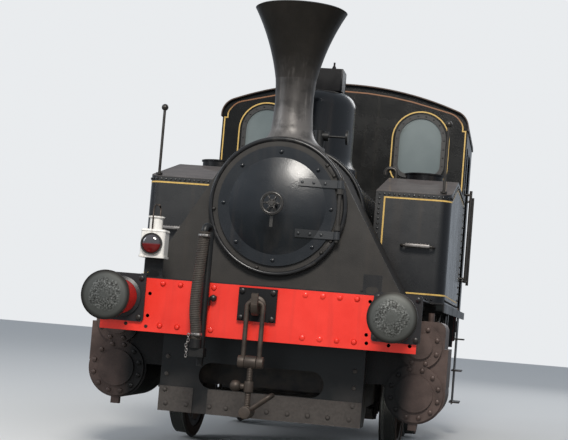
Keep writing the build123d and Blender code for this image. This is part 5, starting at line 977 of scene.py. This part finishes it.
def closed_line(bm, corners, y, outward):
    """A closed painted line on an upright plate: corners hold x, z and a rounding radius."""
    verts = [bm.verts.new((x, y + outward * LINE_RISE, z)) for x, z, rounding in corners]
    bm.faces.new(verts)
    for vert, (x, z, rounding) in zip(verts, corners):
        if rounding:
            bmesh.ops.bevel(
                bm,
                geom=[vert],
                offset=rounding,
                offset_type="OFFSET",
                segments=max(3, int(rounding / 0.025)),
                profile=0.5,
                affect="VERTICES",
                material=-1,
            )
    on_plate = [face for face in bm.faces if abs(face.calc_center_median().y - y) < 0.01]
    face = max(on_plate, key=lambda f: f.calc_area())
    bmesh.ops.inset_region(bm, faces=[face], thickness=LINE_WIDTH, use_even_offset=True, use_boundary=True)
    bmesh.ops.delete(bm, geom=[face], context="FACES_ONLY")


WINDOW_X = 0.742
WINDOW_LINE = 0.274
WINDOW_LINE_FOOT = 2.38
WINDOW_CORNER = 0.14
WINDOW_LINE_TOP = 3.075
CAB_LINE_HALF = 1.166
CAB_LINE_FOOT = 1.3
# Columns: x, z, rounding radius of the border's right half, from the foot to the crown of the roof
CAB_BORDER = (
    (CAB_LINE_HALF, CAB_LINE_FOOT, 0),
    (CAB_LINE_HALF, 2.912, 0),
    (1.138, 2.912, 0),
    (1.138, 2.965, 0.03),
    (1.062, 3.062, 0.05),
    (0.86, 3.112, 0),
    (0.64, 3.164, 0),
    (0.43, 3.200, 0),
    (0.215, 3.222, 0),
    (0.0, 3.229, 0),
)


def window_line(bm, x, y, outward):
    """A painted line round a window, round-headed like the window itself."""
    left, right, arch = x - WINDOW_LINE, x + WINDOW_LINE, WINDOW_LINE - 0.001
    foot = ((left, WINDOW_LINE_FOOT, WINDOW_CORNER), (right, WINDOW_LINE_FOOT, WINDOW_CORNER))
    closed_line(bm, (*foot, (right, WINDOW_LINE_TOP, arch), (left, WINDOW_LINE_TOP, arch)), y, outward)


# The border is painted dull brown where it runs up under the roof, a painted shade
LINING_SHADE_Z = (2.93, 3.02)
shade_topped_lining = variant(lining_gold, "lining with painted shade")
surface, bright, _ = second_coat(shade_topped_lining)
high = remap(split(place_in(surface))["Z"], *LINING_SHADE_Z)
wire(surface, Base_Color=mix(high, bright, (0.27, 0.115, 0.045)))

right_half = list(CAB_BORDER)
left_half = [(-x, z, rounding) for x, z, rounding in reversed(CAB_BORDER[:-1])]
for end, y, outward in (("front", cab_front_y, -1), ("rear", cab_back_y, 1)):
    border = bmesh.new()
    closed_line(border, right_half + left_half, y, outward)
    piece(f"cab_lining_{end}", border, shade_topped_lining, smooth=False)
    for side, x in (("left", -WINDOW_X), ("right", WINDOW_X)):
        ring = bmesh.new()
        window_line(ring, x, y, outward)
        piece(f"window_lining_{end}_{side}", ring, lining_gold, smooth=False)


# Window frames and glass. Bolted cast frames with a stepped edge, and old glass under a pale film
# that hides most of the cab behind it.
frame_paint = paint("window frame black", (0.03, 0.029, 0.028), 0.38, 0.5, ASH, 1.2, 0.4)
dress(frame_paint, "window_frames")
glass = clouded(
    "smoked window glass", (0.33, 0.41, 0.39), 0.08, 2.2, 7, (0.09, 0.115, 0.115), (0.24, 0.275, 0.27),
    (0.04, 0.22), Coat_Weight=1.0,
)
dress(glass, "window_glass")

FRAME_BOLT_RING = 0.2225
ARCH_Z = 2.805
SILL_Z = 2.4505
JAMB_BOLTS = (2.56, 2.64, 2.72)
small_rivet = head_template(10, 0.0085, 0.006, ROUND_CROWN)
frame_bolts = bmesh.new()
frames_low, frames_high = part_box("window_frames")
for y, outward in ((frames_low.y, -1), (frames_high.y, 1)):
    for x in (-WINDOW_X, WINDOW_X):
        spots = ring_of((x, y, ARCH_Z), FRAME_BOLT_RING, range(0, 181, 20))
        spots += [(x + side * FRAME_BOLT_RING, y, z) for side in (-1, 1) for z in JAMB_BOLTS]
        spots += [(x + across, y, SILL_Z) for across in (-0.1, 0, 0.1)]
        set_heads(frame_bolts, small_rivet, spots, (0, outward, 0))
piece("window_frame_bolts", frame_bolts, frame_paint)


# Roof. Riveted sheet bent over the shoulders, with a half-round rain strip above each doorway and a
# rust-brown line where the paint has gone along its front edge.
roof_paint, surface = finish_material("roof black", (0.02, 0.019, 0.018), 0.4)
along = split(place_in(surface))["Y"]
plate = effect(surface, hammered_plate)
roof_front_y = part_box("cab_roof")[0].y
rust = calc("MULTIPLY", remap(along, roof_front_y + 0.03, roof_front_y), plate["Patches"])
black = mix(plate["Patches"], (0.011, 0.011, 0.012), (0.035, 0.032, 0.03))
shade = mix(rust, black, (0.12, 0.06, 0.035))
rough = remap(plate["Patches"], 0, 1, 0.3, 0.62)
wire(surface, Base_Color=shade, Roughness=rough, Normal=bumps(plate["Height"], 0.35, 0.012))
dress(roof_paint, "cab_roof")


# Handrails, cab floor and controls. Iron bars on short stems, black paint worn through to the metal
# where they are gripped, an oiled plank floor, and plain iron fittings on the backhead.
rail_steel = clouded(
    "hand-worn black iron", (0.06, 0.055, 0.05), 0.3, 9, 6, (0.012, 0.011, 0.011), (0.11, 0.1, 0.09),
    (0.5, 0.22), Metallic=0.6,
)
dress(rail_steel, "handrails")

# Treads on the tanks' front stirrups: short flat bars with a row of studs, trodden bright
TREAD_SIZE = Vector((0.190, 0.044, 0.026))
TREAD_PLACE = (0.962, -0.052, 1.650)
TREAD_STUDS = 9
tread_stud = head_template(8, 0.0065, 0.006, ROUND_CROWN)
treads = bmesh.new()
for sign in (-1, 1):
    centre = Vector((sign * TREAD_PLACE[0], front_y + TREAD_PLACE[1], TREAD_PLACE[2]))
    block(treads, TREAD_SIZE, centre, rounding=0.005, segments=3)
    reach = Vector((TREAD_SIZE.x / 2 - 0.012, 0, 0))
    top = centre + Vector((0, -TREAD_SIZE.y / 2 + 0.010, TREAD_SIZE.z / 2))
    set_heads(treads, tread_stud, row(top - reach, top + reach, TREAD_STUDS), (0, 0, 1))
piece("tank_treads", treads, clamp_steel)

# Planks laid lengthwise, their grain drawn out along them
PLANK_WIDTH = 0.14
planks, surface = finish_material("oiled planks", (0.16, 0.09, 0.045), 0.6)
place = place_in(surface)
stretched = node(place, "ShaderNodeMapping", {"Vector": place, "Scale": (8, 1, 1)})
wood = mix(noise(stretched.outputs[0], 9, 8), (0.07, 0.04, 0.022), (0.27, 0.16, 0.085))
board = calc("DIVIDE", split(place)["X"], PLANK_WIDTH)
seam = calc("GREATER_THAN", calc("FRACT", board), 0.04)
wire(surface, Base_Color=mix(seam, (0.012, 0.008, 0.006), wood), Normal=bumps(seam, 0.6, 0.003))
dress(planks, "cab_floor")
dress(hook_steel, "cab_controls")


# Coal bunker edges. A half-round bead closes the top of the bunker's sheets, its back carries a lined
# panel in the colour of the tanks' lines, and rows of rivets run down its corners.
def bend_bar(bm, points, radius, segments=10):
    """A round bar bent through points: a ring that is extruded and turned from one to the next."""
    spots = [Vector(point) for point in points]
    ring = bmesh.ops.create_circle(bm, cap_ends=True, segments=segments, radius=radius)
    bmesh.ops.transform(bm, matrix=aim(spots[0], spots[1] - spots[0]), verts=ring["verts"])
    face = ring["verts"][0].link_faces[0]
    heading = (spots[1] - spots[0]).normalized()
    for index in range(1, len(spots)):
        onward = heading
        if index + 1 < len(spots):
            onward = (spots[index + 1] - spots[index]).normalized()
        joint = (heading + onward).normalized()
        grown = bmesh.ops.extrude_face_region(bm, geom=[face])["geom"]
        face = only(bmesh.types.BMFace, grown)[0]
        verts = face.verts[:]
        bmesh.ops.translate(bm, vec=spots[index] - spots[index - 1], verts=verts)
        face.normal_update()
        turned = face.normal if face.normal.dot(joint) > 0 else -face.normal
        swing = turned.rotation_difference(joint).to_matrix()
        bmesh.ops.rotate(bm, cent=spots[index], matrix=swing, verts=verts)
        heading = onward


bunker_low, bunker_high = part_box("coal_bunker")
PANEL_INSET = 0.09
PANEL_CORNER = 0.05
bunker_line = bmesh.new()
left, right = bunker_low.x + PANEL_INSET, bunker_high.x - PANEL_INSET
foot, head = bunker_low.z + PANEL_INSET, bunker_high.z - PANEL_INSET
panel = [(x, z, PANEL_CORNER) for x, z in ((left, foot), (right, foot), (right, head), (left, head))]
closed_line(bunker_line, panel, bunker_high.y, 1)
piece("bunker_lining", bunker_line, lining_gold, smooth=False)

COLUMN_INSET = 0.04
COLUMN_RIVETS = 15
FOOT_ROW_RISE = 0.035
FOOT_ROW_RIVETS = 33
inset = Vector((RIVET_INSET, RIVET_INSET, COLUMN_INSET))
rivets_low, rivets_high = bunker_low + inset, bunker_high - inset
columns = [((x, bunker_high.y), (0, 1, 0)) for x in (rivets_low.x, rivets_high.x)]
for sign, x in ((-1, bunker_low.x), (1, bunker_high.x)):
    columns += [((x, y), (sign, 0, 0)) for y in (rivets_low.y, rivets_high.y)]
bunker_rivets = bmesh.new()
for spot, outward in columns:
    spots = row((*spot, rivets_low.z), (*spot, rivets_high.z), COLUMN_RIVETS)
    set_heads(bunker_rivets, small_rivet, spots, outward)
foot = bunker_low.z + FOOT_ROW_RISE
spots = row((left, bunker_high.y, foot), (right, bunker_high.y, foot), FOOT_ROW_RIVETS)
set_heads(bunker_rivets, small_rivet, spots, (0, 1, 0))
piece("bunker_rivets", bunker_rivets, cab_paint)

BUNKER_BEAD = 0.012
bead_z = bunker_high.z - 0.002 - BUNKER_BEAD
left, right = bunker_low.x + BUNKER_BEAD, bunker_high.x - BUNKER_BEAD
front, back = bunker_low.y + 0.02, bunker_high.y - BUNKER_BEAD
route = [(x, y, bead_z) for x, y in ((left, front), (left, back), (right, back), (right, front))]
bunker_bead = bmesh.new()
bend_bar(bunker_bead, route, BUNKER_BEAD)
piece("bunker_bead", bunker_bead, bead_steel)


# Cylinders and their covers. Cast-iron blocks in their lagging, blackened with oil that has baked to
# a purple brown, and near-black on their inner parts, partly soot and partly a painted shadow; the
# covers are held by rings of nuts on studs.
CYLINDER_SHADOW_X = 1.02
oily_iron, surface = finish_material("oily purple-brown iron", (0.06, 0.042, 0.04), 0.45, Metallic=0.3)
place = place_in(surface)
plate = effect(surface, hammered_plate, Wave_Size=0.3, Brush_Marks=0.6)
blotches = noise(place, 8, 9, 0.65)
shade = mix(blotches, (0.026, 0.018, 0.016), (0.155, 0.105, 0.09))
# Painted shadow: the inner part of each block is painted near-black, partly soot and partly the shadow of
# the beam and wheels
side = calc("ABSOLUTE", split(place)["X"])
shadowed_inner = remap(side, CYLINDER_SHADOW_X + 0.05, CYLINDER_SHADOW_X - 0.05)
rough = remap(blotches, 0, 1, 0.28, 0.65)
skin = bumps(plate["Height"], 0.35, 0.006)
wire(surface, Base_Color=mix(shadowed_inner, shade, (0.01, 0.009, 0.009)), Roughness=rough, Normal=skin)
dress(oily_iron, "cylinders", "cylinder_covers")

# Columns: x, z, radius of the ring of nuts, number of nuts
COVERS = ((1.075, 0.568, 0.17, 12), (1.09, 0.901, 0.128, 8))
cover_face_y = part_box("cylinders")[0].y - 0.028
cover_nuts = bmesh.new()
cover_nut = head_template(6, 0.017, 0.016, HEX_CROWN)
for sign in (-1, 1):
    for x, z, radius, count in COVERS:
        angles = [360 * (index + 0.5) / count for index in range(count)]
        spots = ring_of((sign * x, cover_face_y, z), radius, angles)
        set_heads(cover_nuts, cover_nut, spots, FORWARD)
piece("cylinder_cover_nuts", cover_nuts, oily_iron)


# Motion. Forged rods, guide bars, crossheads and valve gear, machined bright and kept under a film
# of oil that gathers brown in the corners; the wheels turn in black.
bright_motion = clouded(
    "oiled bright steel", (0.42, 0.40, 0.38), 0.3, 6, 8, (0.12, 0.09, 0.07), (0.58, 0.56, 0.53),
    (0.5, 0.2), Metallic=0.95,
)
dress(bright_motion, "guide_bars", "crossheads", "connecting_rods", "valve_gear", "return_cranks")
dress(bright_motion, "coupling_rod_left", "coupling_rod_right")


# Wheels. Spoked cast centres with crescent balance weights in black under brown brake dust, and
# shrunk-on tyres whose treads are worn bright by running.
wheel_paint = clouded(
    "wheel centre black", (0.02, 0.019, 0.018), 0.5, 7, 9, (0.012, 0.012, 0.012), (0.075, 0.05, 0.036),
    (0.3, 0.8), (0.25, 0.004),
)
TREAD_EDGES = (0.762, 0.892)
tread_steel, surface = finish_material("rolled tyre steel", (0.5, 0.49, 0.48), 0.32, Metallic=0.95)
place = place_in(surface)
side = calc("ABSOLUTE", split(place)["X"])
outer_face = remap(side, TREAD_EDGES[1] - 0.012, TREAD_EDGES[1])
inner_face = remap(side, TREAD_EDGES[0] + 0.02, TREAD_EDGES[0])
off_tread = calc("MAXIMUM", outer_face, inner_face)
rusty = mix(noise(place, 12, 8), (0.03, 0.022, 0.018), (0.15, 0.085, 0.055))
shade = mix(off_tread, (0.46, 0.45, 0.44), rusty)
wire(surface, Base_Color=shade, Roughness=remap(off_tread, 0, 1, 0.25, 0.75))
dress(tread_steel, "front_tyres", "rear_tyres")
dress(wheel_paint, "front_wheel_centres", "rear_wheel_centres", "front_axle", "rear_axle")


# Lamp brackets. Plates bent like low bridges and bolted down by their feet on the deck, one under
# the lamp and one bare on the other side, brush painted in black.
BRACKET_X = (-0.793, 0.752)
BRACKET_Y = -2.970
BRACKET_WIDTH = 0.130
BRACKET_FOOT = (0.040, 0.060, 0.012)
ARCH_WIDTH = 0.086
ARCH_HEIGHT = 0.052
ARCH_ROUNDING = 0.024
bracket_low, bracket_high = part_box("lamp_brackets")
bracket_height = bracket_high.z - bracket_low.z
lamp_bridges = bmesh.new()
for x in BRACKET_X:
    grown = bmesh.ops.create_grid(lamp_bridges, x_segments=3, y_segments=2, size=0.5)["verts"]
    faces = faces_of(grown)
    middles = [face.calc_center_median() for face in faces]
    arch = [face for face, middle in zip(faces, middles) if abs(middle.x) < 0.1 and middle.y < 0]
    legs = [vert for vert in grown if abs(vert.co.x) < 0.4]
    bmesh.ops.scale(lamp_bridges, vec=(3 * ARCH_WIDTH / BRACKET_WIDTH, 1, 1), verts=legs)
    lintel = [vert for vert in grown if abs(vert.co.y) < 0.1]
    bmesh.ops.translate(lamp_bridges, vec=(0, ARCH_HEIGHT / bracket_height - 0.5, 0), verts=lintel)
    bmesh.ops.delete(lamp_bridges, geom=arch, context="FACES")
    stand = Matrix.Translation((x, BRACKET_Y, (bracket_low.z + bracket_high.z) / 2)) @ ALONG_Y
    sized = stand @ Matrix.Diagonal((BRACKET_WIDTH, bracket_height, 1, 1))
    bmesh.ops.transform(lamp_bridges, matrix=sized, verts=grown)
    walls = [face for face in faces if face.is_valid]
    bmesh.ops.solidify(lamp_bridges, geom=walls, thickness=BRACKET_FOOT[2])
    corners = []
    for edge in lamp_bridges.edges:
        one, two = [vert.co for vert in edge.verts]
        under = abs(one.z - bracket_low.z - ARCH_HEIGHT) < 0.001
        beside = abs(abs(one.x - x) - ARCH_WIDTH / 2) < 0.001
        if under and beside and abs(one.y - two.y) > BRACKET_FOOT[2] / 2:
            corners.append(edge)
    round_off(lamp_bridges, corners, ARCH_ROUNDING, 4)
    for sign in (-1, 1):
        foot_x = x + sign * (BRACKET_WIDTH / 2 - 0.005)
        block(lamp_bridges, BRACKET_FOOT, (foot_x, BRACKET_Y, bracket_low.z + BRACKET_FOOT[2] / 2))
        bolt_place = (foot_x + sign * 0.009, BRACKET_Y - 0.018, bracket_low.z + BRACKET_FOOT[2])
        set_heads(lamp_bridges, small_bolt, [bolt_place], (0, 0, 1))
bridges = piece("lamp_bridges", lamp_bridges, frame_black, smooth=False)
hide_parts("lamp_brackets")


# Lamp. A sheet-metal head lamp painted white with a small round chimney, a wire handle and a deep
# red lens under a glossy coat, painted grey over its upper part as a painted reflection; it drops
# over the arched bracket on the deck.
LENS_Z = 1.458
LENS_RADIUS = 0.066
LENS_BULGE = 0.026
LENS_RING = 0.018
lamp_low, lamp_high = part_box("lamp")
LAMP_X = (lamp_low.x + lamp_high.x) / 2
lens_seat_y = lamp_low.y + 0.008
lamp_white, surface = finish_material("lamp white", (0.78, 0.76, 0.72), 0.4)
place = place_in(surface)
runs = effect(surface, rain_streaks, Spread=60.0)
stained = calc("MULTIPLY", noise(place, 14, 8), runs["Streaks"])
shade = mix(stained, (0.8, 0.78, 0.74), (0.28, 0.22, 0.16))
on_ring = calc("LESS_THAN", split(place)["Y"], lamp_low.y + LENS_RING)
wire(surface, Base_Color=mix(on_ring, shade, (0.03, 0.028, 0.026)))
dress(lamp_white, "lamp")

lens_red, surface = finish_material("deep red lens", (0.16, 0.008, 0.008), 0.06, Coat_Weight=1.0)
place = place_in(surface)
red = mix(noise(place, 30, 3), (0.07, 0.004, 0.005), (0.18, 0.012, 0.012))
# Painted reflection: the lens is painted grey above its middle
reflecting_top = remap(split(place)["Z"], LENS_Z - 0.004, LENS_Z + 0.006)
wire(surface, Base_Color=mix(reflecting_top, red, (0.06, 0.055, 0.06)))
lens_place = Matrix.Translation((LAMP_X, lens_seat_y, LENS_Z))
lens_matrix = lens_place @ Matrix.Diagonal((LENS_RADIUS, LENS_BULGE, LENS_RADIUS, 1)) @ ALONG_Y
lens = bmesh.new()
bmesh.ops.create_uvsphere(lens, u_segments=40, v_segments=20, radius=1, matrix=lens_matrix)
piece("lamp_lens", lens, lens_red)

# Wire handle: one bar bent to a loop over the chimney, its ends standing on the lamp's top
HANDLE_WIRE = 0.006
# Columns: x from the lamp's middle, y from its front, z
HANDLE_ROUTE = (
    (-0.012, 0.046, 1.555),
    (-0.012, 0.046, 1.695),
    (-0.010, 0.054, 1.722),
    (-0.006, 0.074, 1.738),
    (0.006, 0.124, 1.738),
    (0.010, 0.144, 1.722),
    (0.012, 0.152, 1.695),
    (0.012, 0.152, 1.555),
)
handle = bmesh.new()
bend_bar(handle, [(LAMP_X + x, lamp_low.y + y, z) for x, y, z in HANDLE_ROUTE], HANDLE_WIRE)
piece("lamp_handle", handle, hook_steel)
